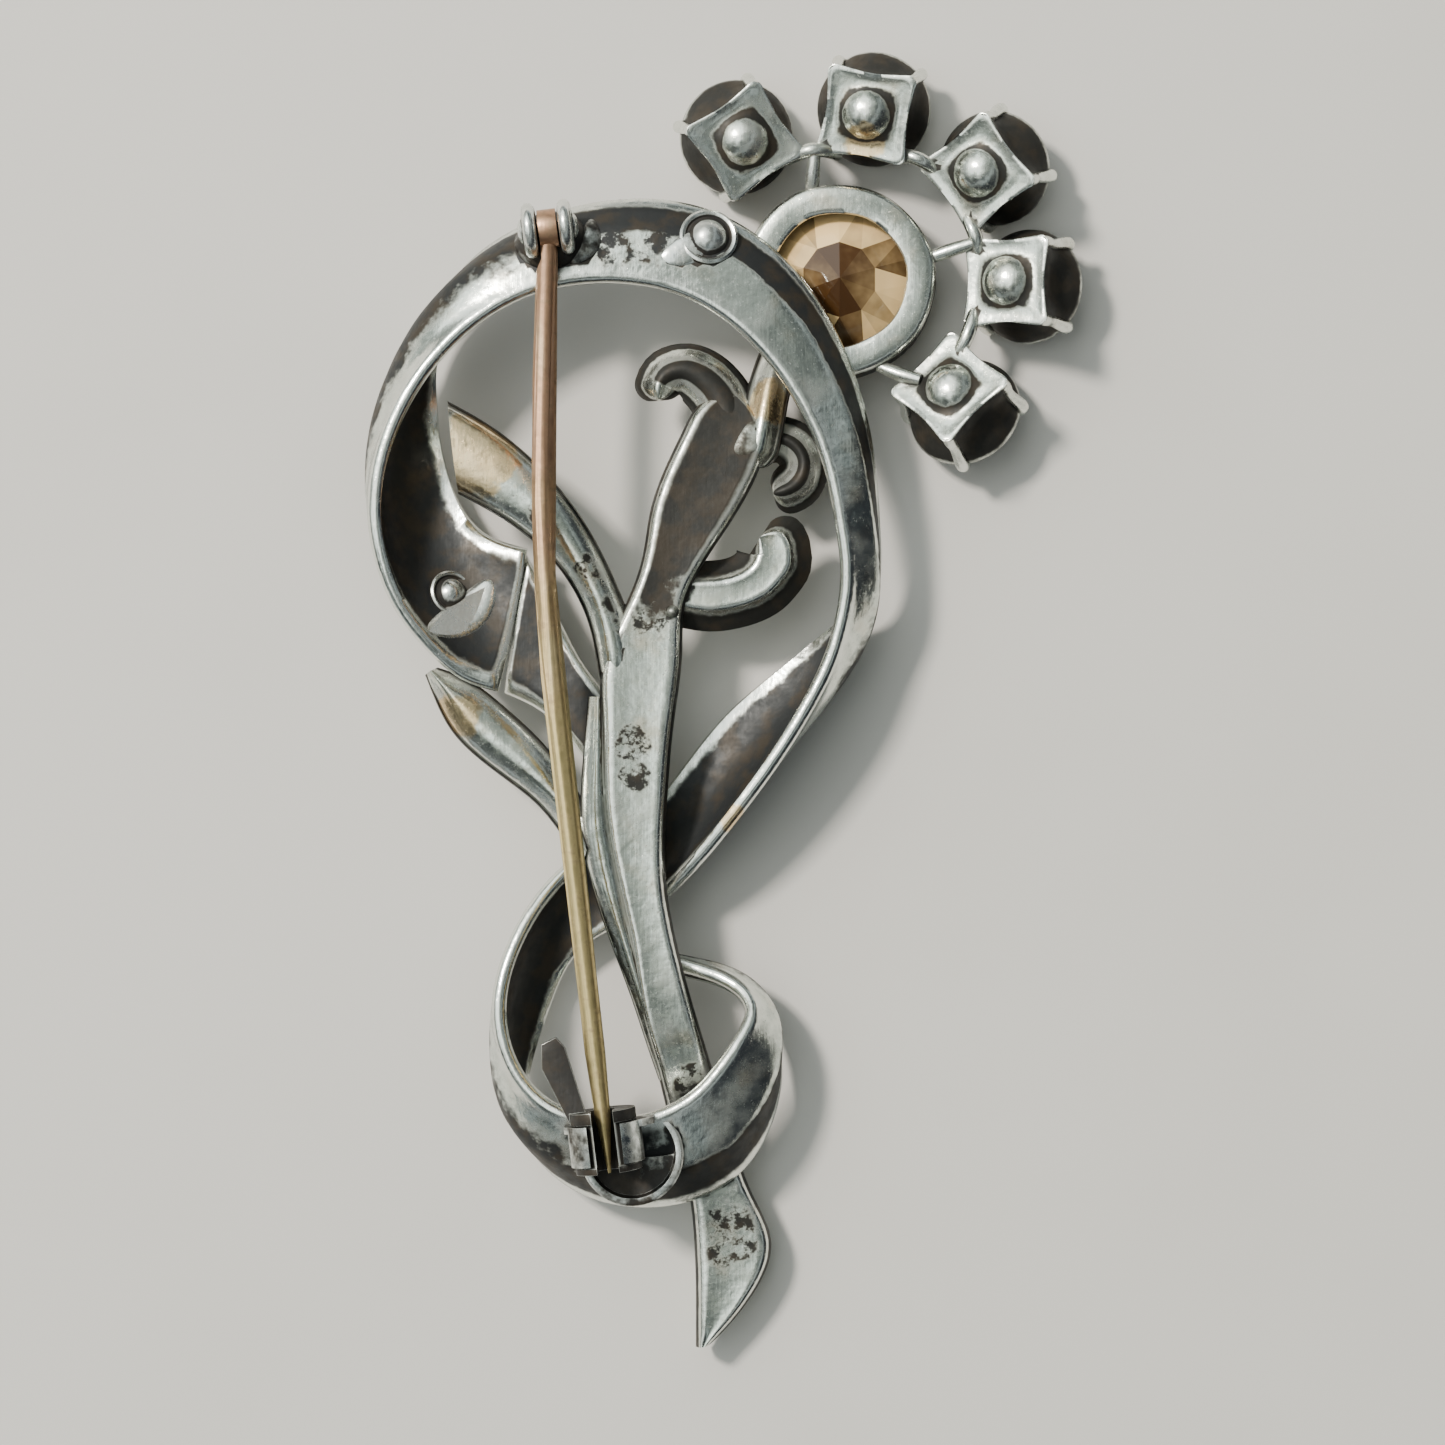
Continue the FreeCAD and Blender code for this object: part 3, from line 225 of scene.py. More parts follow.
def cast_part(rows, depth, flare, crown, corner, dish, tone, round_end=(0, 0), crease=0.0, skirt=0.6):
    """A cast bar: a flat back with soft corners, sides that flare towards the front, and a crowned front.

    rows are (one back edge, other back edge, height of the back). dish raises the back's middle, or sinks it
    when below 0. crease sharpens the front's crown, round_end rounds the plan of its ends over that length,
    tone is how dark the back is made (one value, or one for each row), and skirt is how bright the front's
    rim is.
    The flaring sides are painted dark as shade, and the rims painted lighter as a highlight.
    """
    left = np.array([(*r[0], r[2]) for r in rows], float)
    right = np.array([(*r[1], r[2]) for r in rows], float)
    marks = lengths((left + right) / 2)
    at = np.linspace(0, marks[-1], int(marks[-1] / STEP) + 2)
    if round_end[1]:
        at = np.append(at, [marks[-1] - round_end[1] * (1 - math.sin(k * math.pi / 16)) for k in range(8)])
    if round_end[0]:
        at = np.append(at, [round_end[0] * (1 - math.sin(k * math.pi / 16)) for k in range(8)])
    at = np.unique(at)
    a, b = spline(marks, left, at), spline(marks, right, at)
    tones = np.interp(at, marks, tone if isinstance(tone, list) else [tone] * len(marks))
    points, edge, dark = [], [], []
    top = [-1, -0.8, -0.55, -0.28, 0, 0.28, 0.55, 0.8, 1]
    front = [(0.72, 0.3), (0.4, 0.62), (0.16, 0.9), (0.0, 1.0)]
    front = [(s, rise * (1 - crease) + (1 - s) * crease) for s, rise in front]
    for i in range(len(at)):
        centre, width = (a[i] + b[i]) / 2, np.linalg.norm(b[i] - a[i])
        side = (b[i] - a[i]) / max(width, 1e-6)
        shrink = 1.0
        for length, from_end in ((round_end[0], at[i]), (round_end[1], marks[-1] - at[i])):
            if length and from_end < length:
                shrink = min(shrink, math.sqrt(max(0.0012, 1 - (1 - from_end / length) ** 2)))
        half = width / 2 * shrink
        soft = min(corner, half * 0.6)
        deep = depth * (0.55 + 0.45 * shrink)
        # Down each side: how bright the rim is painted and how dark the side is painted, as shade.
        profile = [
            (half - soft * 0.35, -soft * 0.3, 1.0, 0.0),
            (half, -soft, 0.6, 0.3),
            (half + flare * 0.45, -deep * 0.5, 0.0, 0.95),
            (half + flare, -deep * 0.82, skirt * 0.2, 0.9),
            (half + flare * 0.75, -deep * 0.97, skirt, 0.7 - skirt),
        ]
        for t in top:
            points.append(centre + side * t * (half - soft) + UP * (dish * (1 - t * t) * shrink))
            edge.append(max(0.0, abs(t) * 4 - 3.1))
            dark.append(tones[i])
        for reach, drop, wear_and_highlight, patina in profile:
            points.append(centre + side * reach + UP * drop)
            edge.append(wear_and_highlight)
            dark.append(patina)
        for s, rise in front + [(-s, rise) for s, rise in reversed(front[:-1])]:
            points.append(centre + side * s * (half + flare) - UP * (deep * 0.97 + crown * rise * shrink))
            edge.append(0.3 if abs(s) < 0.1 else 0.1)
            dark.append(0.1)
        for reach, drop, wear_and_highlight, patina in reversed(profile):
            points.append(centre - side * reach + UP * drop)
            edge.append(wear_and_highlight)
            dark.append(patina)
    return points, ring_faces(len(at), len(points) // len(at)), edge, dark


def cast(name, rows, depth, nodes, **shape):
    """A piece that is one cast bar."""
    add_piece(name, [cast_part(rows, depth, **shape)], "brooch", nodes, "silver_cast", CAST_EDGE)


def tube_part(path, radii, steps, gap, wear_and_highlight, patina):
    """A round bar through points, with a radius at each, closed by flat caps."""
    path = np.array(path, float)
    marks = lengths(path)
    at = np.linspace(0, marks[-1], max(6, int(marks[-1] / gap)))
    line, wide = spline(marks, path, at), spline(marks, np.array(radii, float)[:, None], at)[:, 0]
    run = unit(np.gradient(line, axis=0))
    points = []
    side = unit(np.cross(run[0], (0.03, 0.05, 1.0)))
    for p, t, r in zip(line, run, wide):
        side = unit(side - t * np.dot(side, t))
        other = np.cross(t, side)
        for k in range(steps):
            angle = 2 * math.pi * k / steps
            points.append(p + (side * math.cos(angle) + other * math.sin(angle)) * r)
    return points, ring_faces(len(at), steps), [wear_and_highlight] * len(points), [patina] * len(points)


def curled(centres, widths, height):
    """Rows for a cast bar from a centre line and its widths."""
    line = np.array(centres, float)
    marks = lengths(line)
    at = np.linspace(0, marks[-1], 2 * len(centres))
    fine = spline(marks, line, at)
    wide = np.interp(at, marks, widths)
    run = unit(np.gradient(fine, axis=0))
    side = np.stack([-run[:, 1], run[:, 0]], axis=1)
    return [(tuple(p + s * w / 2), tuple(p - s * w / 2), height) for p, s, w in zip(fine, side, wide)]


def lathe_part(profile, place, steps, shape=None, loop=False):
    """Turns a profile of (radius, height, rim brightness from handling and painted highlight, patina and
    painted shade) about Z at a place; loop joins its ends.

    shape(angle, radius, height, row) gives the radius and the height where the piece isn't round.
    """
    points, edge, dark = [], [], []
    for row, (radius, height, wear_and_highlight, patina) in enumerate(profile):
        for k in range(steps):
            angle = 2 * math.pi * k / steps
            r, z = shape(angle, radius, height, row) if shape else (radius, height)
            points.append(tuple(place @ Vector((r * math.cos(angle), r * math.sin(angle), z))))
            edge.append(wear_and_highlight)
            dark.append(patina)
    faces = ring_faces(len(profile), steps, not loop)
    if loop:
        last = (len(profile) - 1) * steps
        faces += [(last + j, last + (j + 1) % steps, (j + 1) % steps, j) for j in range(steps)]
    return points, faces, edge, dark


WELD = 2e-6  # metres: points of a CAD mesh that are nearer than this are one


def refined(node, body, slot, width, patina=0.35):
    """A copy of a CAD node with its sharp edges softened, as cast and filed metal has them."""
    mesh = frame["nodes"][node].data.copy()
    work = bmesh.new()
    work.from_mesh(mesh)
    bmesh.ops.remove_doubles(work, verts=work.verts, dist=WELD)
    bmesh.ops.dissolve_limit(work, angle_limit=math.radians(4), verts=work.verts, edges=work.edges)
    sharp = [e for e in work.edges if len(e.link_faces) == 2 and e.calc_face_angle(0) > math.radians(34)]
    bmesh.ops.bevel(work, geom=sharp, offset=width * MM, segments=2, affect="EDGES", profile=0.6,
                    clamp_overlap=True)
    bmesh.ops.triangulate(work, faces=[f for f in work.faces if len(f.verts) > 4])
    mesh.clear_geometry()
    work.to_mesh(mesh)
    work.free()
    mesh.materials.clear()
    finish_piece(f"{node}_shown", mesh, body, [node], slot, CUT_EDGE)
    # Sharp edges are marked to be rubbed bright and painted lighter as a highlight.
    wear_and_highlight = [0.0] * len(mesh.vertices)
    for e in mesh.edges:
        if e.use_edge_sharp:
            for v in e.vertices:
                wear_and_highlight[v] = 1.0
    store(mesh, "edge", wear_and_highlight)
    store(mesh, "dark", [patina] * len(wear_and_highlight))


# ------------------------------------------------------------------ the ribbon

# Rows of (near edge, far edge, bow): the loop from its left end, over the top and down to the crossing.
LOOP = [
    ((-13.2, 1.1, 5.0), (-11.5, 9.8, 3.4), 0.8), ((-15.3, 1.8, 5.3), (-12.9, 10.2, 2.8), 1.0),
    ((-17.4, 3.6, 5.9), (-14.4, 10.9, 2.2), 1.2), ((-19.2, 6.0, 6.4), (-15.8, 12.6, 1.6), 1.4),
    ((-20.3, 8.8, 6.8), (-16.7, 14.8, 1.2), 1.6), ((-20.7, 11.8, 7.0), (-17.2, 16.9, 1.0), 1.7),
    ((-20.2, 15.2, 7.1), (-17.4, 18.9, 1.0), 1.7), ((-18.8, 18.4, 7.2), (-17.5, 20.9, 1.2), 1.5),
    ((-16.6, 21.3, 7.2), (-17.0, 23.6, 1.8), 1.3), ((-13.1, 24.0, 7.2), (-14.9, 27.1, 3.2), 1.0),
    ((-9.4, 25.3, 7.2), (-10.5, 29.7, 4.6), 0.75), ((-5.8, 25.5, 7.2), (-5.6, 30.7, 5.3), 0.55),
    ((-2.3, 24.8, 7.2), (-0.9, 30.2, 5.5), 0.5), ((1.2, 22.7, 7.2), (3.9, 27.3, 5.4), 0.5),
    ((4.1, 19.4, 7.1), (7.4, 22.3, 5.0), 0.55), ((6.2, 15.3, 6.9), (9.2, 16.7, 4.5), 0.6),
    ((7.3, 10.8, 6.8), (9.7, 10.9, 3.5), 0.7), ((7.6, 7.0, 6.7), (9.2, 6.4, 2.2), 1.0),
    ((7.1, 3.9, 6.6), (7.5, 5.0, 1.1), 1.4), ((5.8, 0.6, 6.5), (4.6, 2.8, 0.7), 1.6),
    ((3.7, -3.0, 6.2), (1.3, 0.2, 0.8), 1.5), ((1.1, -6.6, 5.6), (-1.0, -2.3, 1.0), 1.3),
    ((-1.6, -9.9, 4.4), (-2.8, -4.6, 1.2), 0.9), ((-4.1, -12.2, 2.9), (-4.9, -6.6, 1.7), 0.5),
]
# The ring goes on from the crossing, down the left, round the bottom and back to the stem.
RING = [
    ((-6.5, -13.4, 2.1), (-7.7, -8.2, 2.9), 0.5), ((-8.6, -14.8, 1.5), (-10.3, -10.5, 4.2), 0.6),
    ((-9.8, -16.6, 1.1), (-12.2, -13.5, 5.3), 0.8), ((-10.6, -18.6, 0.9), (-13.2, -16.8, 6.0), 1.0),
    ((-11.6, -21.4, 0.8), (-12.9, -20.0, 6.3), 1.1), ((-12.0, -24.2, 0.9), (-11.6, -22.3, 6.5), 1.1),
    ((-11.0, -27.0, 1.4), (-9.8, -23.7, 6.7), 1.0), ((-8.5, -29.2, 2.1), (-7.6, -24.3, 6.7), 0.8),
    ((-5.2, -30.1, 2.7), (-5.2, -24.4, 6.7), 0.7), ((-1.8, -29.8, 3.0), (-3.1, -23.8, 6.7), 0.7),
    ((1.2, -28.2, 2.9), (-1.2, -22.6, 6.7), 0.8), ((3.0, -25.6, 2.4), (0.3, -20.9, 6.5), 0.9),
    ((3.7, -22.2, 1.8), (1.5, -19.2, 6.1), 0.9), ((3.1, -19.3, 1.3), (2.0, -17.8, 5.4), 0.7),
    ((1.5, -17.2, 0.9), (1.1, -16.6, 4.5), 0.5), ((-1.3, -16.1, 0.8), (-1.3, -15.6, 3.7), 0.3),
    ((-4.2, -15.6, 0.9), (-4.2, -14.8, 3.0), 0.2),
]
RAIL = LOOP + RING
TURN = len(LOOP) - 1  # the row where the loop becomes the ring
# For each row, how sharp the crease is; the outer face past it is painted dark as shade.
CREASED = [0, 0, 0, 0, 0, 0, 0, 0.1, 0.2, 0.3, 0.45, 0.7, 0.9, 1, 1, 1, 1, 0.8, 0.4, 0.1, 0, 0, 0, 0,
           0, 0, 0, 0.1, 0.2, 0.3, 0.4, 0.5, 0.6, 0.8, 1, 1, 1, 0.8, 0.4, 0, 0]
ribbon("ribbon_loop_shown", RAIL, ["ribbon_loop"], CREASED, cut=(0, TURN), blunt=(True, False))
ribbon("ribbon_ring_shown", RAIL, ["ribbon_ring"], CREASED, cut=(TURN, -1), blunt=(False, True), turned=True)
# The bridge's crest lies at its near edge, so nearly all of its outer face is painted dark, as its shade and
# patina.
ribbon("ribbon_bridge_shown", [
    ((-12.9, 1.0, 3.2), (-11.6, 9.5, 2.8), 0.3), ((-11.0, 0.1, 3.4), (-10.0, 6.4, 3.2), 0.3),
    ((-9.2, -1.4, 3.8), (-8.5, 3.4, 3.8), 0.3), ((-7.0, -4.6, 4.2), (-6.2, 0.4, 4.2), 0.2),
], ["ribbon_bridge"], [1, 1, 1, 1], crest=0.03)

# ------------------------------------------------------------------ stems, leaves and scrolls

cast("stem_shown", [
    ((2.9, 18.2), (-0.6, 19.6), 5.1), ((2.9, 16.6), (-1.3, 18.0), 5.5), ((2.2, 14.2), (-2.6, 15.3), 5.75),
    ((0.8, 11.6), (-3.8, 12.1), 5.9), ((-0.9, 9.0), (-4.3, 9.2), 6.05), ((-2.1, 6.4), (-5.3, 6.4), 6.1),
    ((-2.3, 3.4), (-6.6, 3.4), 6.1), ((-2.8, -0.8), (-6.8, -0.8), 6.1), ((-3.2, -5.4), (-6.7, -5.4), 6.0),
    ((-3.3, -10.0), (-6.0, -10.0), 5.9), ((-2.6, -14.2), (-5.1, -14.2), 5.7),
    ((-1.6, -18.0), (-4.5, -18.0), 5.4), ((-0.4, -22.0), (-3.4, -22.0), 4.7),
    ((0.8, -26.2), (-2.4, -26.2), 3.5), ((2.0, -29.6), (-1.5, -29.6), 2.9),
    ((3.1, -32.4), (-1.2, -32.4), 2.7), ((2.2, -35.3), (-1.1, -35.3), 2.6),
    ((0.3, -37.8), (-1.1, -37.8), 2.5), ((-0.6, -38.75), (-1.1, -38.85), 2.4),
], 1.0, ["stem", "calyx"], flare=0.2, crown=1.0, dish=-0.06, corner=0.34, round_end=(2.2, 0),
   tone=[0.75, 0.75, 0.8, 0.8, 0.75, 0.45] + [0.06] * 13)
cast("side_stem_shown", [
    ((-6.6, 0.8), (-7.7, 0.8), 5.6), ((-6.4, -3.0), (-8.0, -3.0), 5.7), ((-6.1, -7.2), (-8.1, -7.2), 5.7),
    ((-5.4, -10.8), (-7.4, -10.8), 5.6), ((-4.6, -14.4), (-6.2, -14.4), 5.4),
    ((-3.9, -17.4), (-5.1, -17.4), 5.1), ((-3.2, -20.0), (-4.25, -20.0), 4.75),
    ((-2.6, -22.4), (-3.45, -22.4), 4.2),
], 0.95, ["side_stem"], flare=0.1, crown=0.8, corner=0.5, dish=0.2, tone=0.0)
cast("leaf_upper_shown", [
    ((-4.2, 3.0), (-6.1, -1.4), 5.2), ((-5.0, 4.7), (-6.8, 1.2), 5.8), ((-6.3, 7.8), (-7.5, 4.8), 6.0),
    ((-8.2, 11.4), (-8.9, 7.9), 6.1), ((-10.9, 14.7), (-10.9, 10.2), 6.1),
    ((-13.6, 16.9), (-13.1, 11.8), 6.1), ((-16.2, 18.4), (-15.6, 13.2), 6.0),
], 0.85, ["leaf_upper"], flare=0.2, crown=1.0, dish=0.32, corner=0.7, crease=0.7, tone=0.05)
cast("leaf_lower_shown", [
    ((-7.6, -7.6), (-8.1, -9.3), 5.4), ((-8.6, -4.8), (-10.3, -6.1), 5.3),
    ((-10.6, -2.1), (-12.5, -4.2), 5.3), ((-12.7, -0.1), (-15.0, -2.2), 5.3),
    ((-14.9, 1.6), (-16.5, -0.2), 5.3), ((-17.0, 2.5), (-17.5, 2.2), 5.2),
], 0.8, ["leaf_lower"], flare=0.15, crown=0.9, dish=0.3, corner=0.6, crease=0.7, tone=0.05)
cast("flower_neck_shown", [
    ((1.0, 14.9), (3.3, 14.4), 5.25), ((1.5, 16.6), (3.7, 16.2), 5.4), ((1.9, 18.9), (4.1, 18.5), 5.05),
    ((2.5, 21.0), (4.6, 20.4), 4.45), ((3.3, 23.0), (5.3, 22.0), 3.8),
], 1.0, ["flower_neck"], flare=0.2, crown=0.8, dish=0.3, corner=0.6, round_end=(1.4, 0), tone=0.0)
cast("scroll_left_shown", curled(
    [(1.0, 16.4), (0.4, 18.5), (-0.8, 20.0), (-2.3, 20.5), (-3.5, 19.7), (-3.5, 18.7)],
    [3.2, 2.9, 2.7, 2.4, 2.1, 1.5], 5.0,
), 1.5, ["scroll_left"], flare=0.5, crown=1.0, round_end=(0, 0.9), dish=0.35, corner=0.6,
   tone=[0.9] * 9 + [0.75, 0.1, 0.1], skirt=0.05)
cast("scroll_right_shown", curled(
    [(2.0, 15.9), (4.0, 16.4), (5.2, 15.3), (4.8, 13.7), (3.4, 13.1)], [1.6, 1.9, 2.0, 2.1, 1.8], 4.2,
), 1.3, ["scroll_right"], flare=0.5, crown=0.8, round_end=(0, 0.9), dish=0.35, corner=0.6, tone=0.75,
   skirt=0.05)
cast("scroll_lower_shown", curled(
    [(-2.8, 7.2), (-0.6, 6.9), (1.4, 7.2), (3.1, 8.4), (3.4, 9.8), (2.6, 10.4)],
    [1.8, 2.1, 2.1, 2.3, 2.5, 2.1], 5.3,
), 1.6, ["scroll_lower"], flare=1.1, crown=0.9, round_end=(0, 1.1), dish=-0.06, corner=0.4, tone=0.0,
   skirt=0.1)

# ------------------------------------------------------------------ flower

FLOWER = Vector((7.4, 26.1, 0))
BEZEL_BACK, PETAL_BACK = 3.9, 4.75  # heights of the bezel's and the petal cups' backs
# For each petal: bearing about the flower, distance, tilt, and the bearing that it tilts towards, in degrees.
PETALS = [(124.8, 10.0, 14, 125), (80.7, 9.95, 16, 55), (37.2, 10.4, 24, 30), (-1.2, 10.0, 27, 0),
          (-45.0, 9.3, 29, -48)]

# Radius, height, rim brightness from handling and painted highlight, patina and painted shade: from the
# dome's top over the plate, down the side and into the seat.
CUP = [
    (0.02, 0.80, 0.9, 0), (0.35, 0.78, 0.8, 0), (0.75, 0.66, 0.6, 0), (1.1, 0.45, 0.3, 0.05),
    (1.38, 0.18, 0, 0.3), (1.55, 0.0, 0, 0.7), (1.9, -0.1, 0.1, 0.2), (2.2, -0.1, 0.2, 0.05),
    (2.45, -0.04, 0.5, 0), (2.62, 0.0, 1, 0), (2.72, -0.06, 1, 0), (2.76, -0.25, 0.3, 0.6),
    (2.66, -0.6, 0, 1), (2.56, -1.1, 0, 1), (2.62, -1.7, 0, 1), (2.85, -2.3, 0, 1), (3.2, -2.85, 0, 0.9),
    (3.42, -3.3, 0.2, 0.6), (3.5, -3.65, 0.7, 0.3), (3.4, -3.78, 1, 0.1), (3.12, -3.78, 0.6, 0.3),
    (3.08, -3.4, 0, 0.8), (2.0, -3.3, 0, 0.8), (0.02, -3.3, 0, 0.8),
]
DOME_ROWS, PLATE_ROWS, SIDE_ROWS = 6, 11, 19  # rows of CUP up to the end of each
DOME_FOOT, PLATE_RIM, PLATE_HALF = 1.5, 2.76, 2.78
CLAW = [(3.3, -0.02), (3.36, -0.5), (3.3, -1.4), (3.42, -2.4), (3.6, -3.2), (3.5, -3.85), (2.98, -4.12)]
CLAW_WIDE = [0.30, 0.34, 0.32, 0.34, 0.38, 0.4, 0.3]


def cup_shape(angle, radius, height, row):
    """Square with gently hollow sides at the back, going round towards the front."""
    off = (angle + math.pi / 4) % (math.pi / 2) - math.pi / 4
    if row < DOME_ROWS or row >= SIDE_ROWS:
        return radius, height
    corner = abs(off) / (math.pi / 4)
    depth = min(1.0, max(0.0, -height / 3.2))
    hollow = 0.24 + 0.5 * math.sin(math.pi * min(1.0, depth * 1.2))
    reach = (PLATE_HALF - hollow * (1 - corner * corner)) / math.cos(off)
    reach = min(reach, PLATE_HALF * 1.414 - 0.32 + 0.18 * (1 - corner))
    if row < PLATE_ROWS:
        share = (radius - DOME_FOOT) / 1.22
        lip = 0.07 * max(0.0, corner - 0.5)
        return DOME_FOOT + (reach - DOME_FOOT) * share, height + lip
    rounded = depth ** 1.4
    return (reach + (radius - PLATE_RIM) * (1 - rounded)) * (1 - rounded) + radius * rounded, height


def petal_place(number):
    """The petal's own frame: z along its axis to the back, square to its bearing, and tilted."""
    bearing, distance, tilt, towards = PETALS[number]
    bearing, tilt, towards = math.radians(bearing), math.radians(tilt), math.radians(towards)
    out = Matrix.Rotation(bearing, 4, "Z")
    lean = Matrix.Rotation(-tilt, 4, Vector((-math.sin(towards), math.cos(towards), 0)))
    spot = FLOWER + Vector((math.cos(bearing) * distance, math.sin(bearing) * distance, PETAL_BACK))
    return Matrix.Translation(spot) @ lean @ out


for number in range(len(PETALS)):
    place = petal_place(number)
    parts = [lathe_part(CUP, place, 128, cup_shape)]
    for k in range(4):
        angle = math.pi / 4 + k * math.pi / 2
        path = [tuple(place @ Vector((r * math.cos(angle), r * math.sin(angle), z))) for r, z in CLAW]
        parts.append(tube_part(path, CLAW_WIDE, 16, 0.2, 0.9, 0.1))
    node = f"petal_cup_{number + 1}"
    add_piece(f"{node}_shown", parts, "brooch", [node], "silver_cast", CUP_EDGE)


def bezel_shape(angle, radius, height, row):
    """A cast ring that isn't quite round or flat."""
    return radius + 0.05 * math.sin(3 * angle + 1) + 0.03 * math.sin(7 * angle), \
        height + 0.04 * math.sin(2 * angle + 0.6) + 0.02 * math.sin(5 * angle)


BEZEL = [
    (4.2, -0.72, 0.2, 0.5), (4.08, -0.4, 0.3, 0.2), (4.03, -0.14, 0.9, 0), (4.12, -0.02, 1, 0),
    (4.4, 0.02, 0.4, 0), (4.95, 0.02, 0.2, 0), (5.45, 0.0, 0.3, 0), (5.68, -0.1, 0.8, 0),
    (5.8, -0.32, 0.5, 0.2), (5.84, -1.0, 0, 0.95), (5.9, -1.65, 0, 0.95), (5.92, -2.4, 0, 0.7),
    (5.85, -3.0, 0.5, 0.2), (5.6, -3.22, 1, 0), (5.38, -3.24, 0.8, 0), (5.27, -3.1, 0.3, 0.3),
    (5.26, -1.25, 0, 0.6), (5.0, -1.1, 0, 0.6),
]
add_piece("flower_bezel_shown", [
    lathe_part(BEZEL, Matrix.Translation(FLOWER + Vector((0, 0, BEZEL_BACK))), 128, bezel_shape, True),
], "brooch", ["flower_bezel"], "silver_cast", RING_EDGE)

LINK_RADII = [0.34, 0.44, 0.34]
for node, path in {
    "petal_link_1": [(4.3, 33.4, 3.1), (5.8, 33.9, 4.0), (7.4, 33.7, 3.1)],
    "petal_link_2": [(10.6, 33.8, 3.1), (12.1, 33.4, 3.9), (13.6, 32.5, 3.1)],
    "petal_link_3": [(14.8, 30.4, 3.1), (15.6, 28.8, 3.9), (16.0, 27.2, 3.1)],
    "petal_link_4": [(15.7, 24.7, 3.1), (15.2, 22.8, 3.9), (14.2, 20.9, 3.1)],
    "petal_strut_1": [(5.9, 33.6, 3.9), (5.8, 32.4, 3.6), (5.7, 31.1, 3.1)],
    "petal_strut_3": [(12.4, 27.3, 3.1), (13.9, 27.8, 3.4), (15.5, 28.3, 3.8)],
    "petal_strut_5": [(9.8, 20.9, 3.1), (11.0, 20.4, 3.5), (12.3, 20.0, 3.9)],
}.items():
    bar = tube_part(path, LINK_RADII, 24, 0.12, 0.7, 0.05)
    add_piece(f"{node}_shown", [bar], "brooch", [node], "silver_cast", CUP_EDGE)

FACET_MIDDLE = 0.42  # share of a stone's reach within which its facets are painted dark, as shade
LIT_SIDE = (-0.79, 0.62)  # the way that the key light comes from: the facets facing it are painted brightest


def gem(node, slot):
    """A copy of a stone's CAD node with crisp flat facets, each with its own painted brightness: lit outer
    facets, shaded middle ones.
    """
    mesh = frame["nodes"][node].data.copy()
    work = bmesh.new()
    work.from_mesh(mesh)
    bmesh.ops.remove_doubles(work, verts=work.verts, dist=WELD)
    bmesh.ops.dissolve_limit(work, angle_limit=math.radians(0.5), verts=work.verts, edges=work.edges)
    bmesh.ops.recalc_face_normals(work, faces=work.faces)
    tone = work.faces.layers.float.new("tone")
    middle = sum((v.co for v in work.verts), Vector()) / len(work.verts)
    reach = max((v.co - middle).length for v in work.verts)
    for i, face in enumerate(work.faces):
        face.smooth = False
        spot = face.calc_center_median() - middle
        off = math.hypot(spot.x, spot.y) / reach
        # Painted light: outer facets are lighter the more they face the key light, with a random glint, and
        # middle facets are painted dark as shade.
        lit = 0.6 + 0.25 * (face.normal.x * LIT_SIDE[0] + face.normal.y * LIT_SIDE[1])
        lit += 0.32 * math.sin(i * 12.9898)
        shaded = 0.04 + 0.2 * math.sin(i * 7.1) ** 2
        face[tone] = min(1.0, max(0.0, lit if off > FACET_MIDDLE else shaded))
    mesh.clear_geometry()
    work.to_mesh(mesh)
    work.free()
    mesh.materials.clear()
    stone = place_object(f"{node}_shown", mesh)
    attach(stone, "brooch")
    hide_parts(node)
    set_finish(stone, slot)
    return stone


centre_gem = gem("centre_stone", "stone_amber")
petal_gems = [gem(f"petal_stone_{n}", "stone_smoky") for n in range(1, 6)]

# ------------------------------------------------------------------ hinge, catch, rivets and solder

# The hinge's own frame: Z along its axis.
HINGE = Matrix.Translation((-10.05, 28.6, 8.5)) @ Matrix.Rotation(math.radians(6.9), 4, "Z") \
    @ Matrix.Rotation(math.radians(90), 4, "Y")
# An ear's profile: radius, height, rim brightness from handling and painted highlight, patina and painted
# shade, as in the profiles below.
EAR = [
    (0.43, -0.42, 0.3, 0.3), (1.1, -0.42, 0.2, 0.3), (1.42, -0.37, 0.6, 0.1), (1.6, -0.2, 1, 0),
    (1.65, 0.0, 1, 0), (1.6, 0.2, 1, 0), (1.42, 0.37, 0.6, 0.1), (1.1, 0.42, 0.2, 0.3),
    (0.43, 0.42, 0.3, 0.3),
]
EAR_PLACE = 1.075  # from the hinge's middle to each ear's
ABOVE = 0.02  # metres: over everything, where the rays that find the surface start


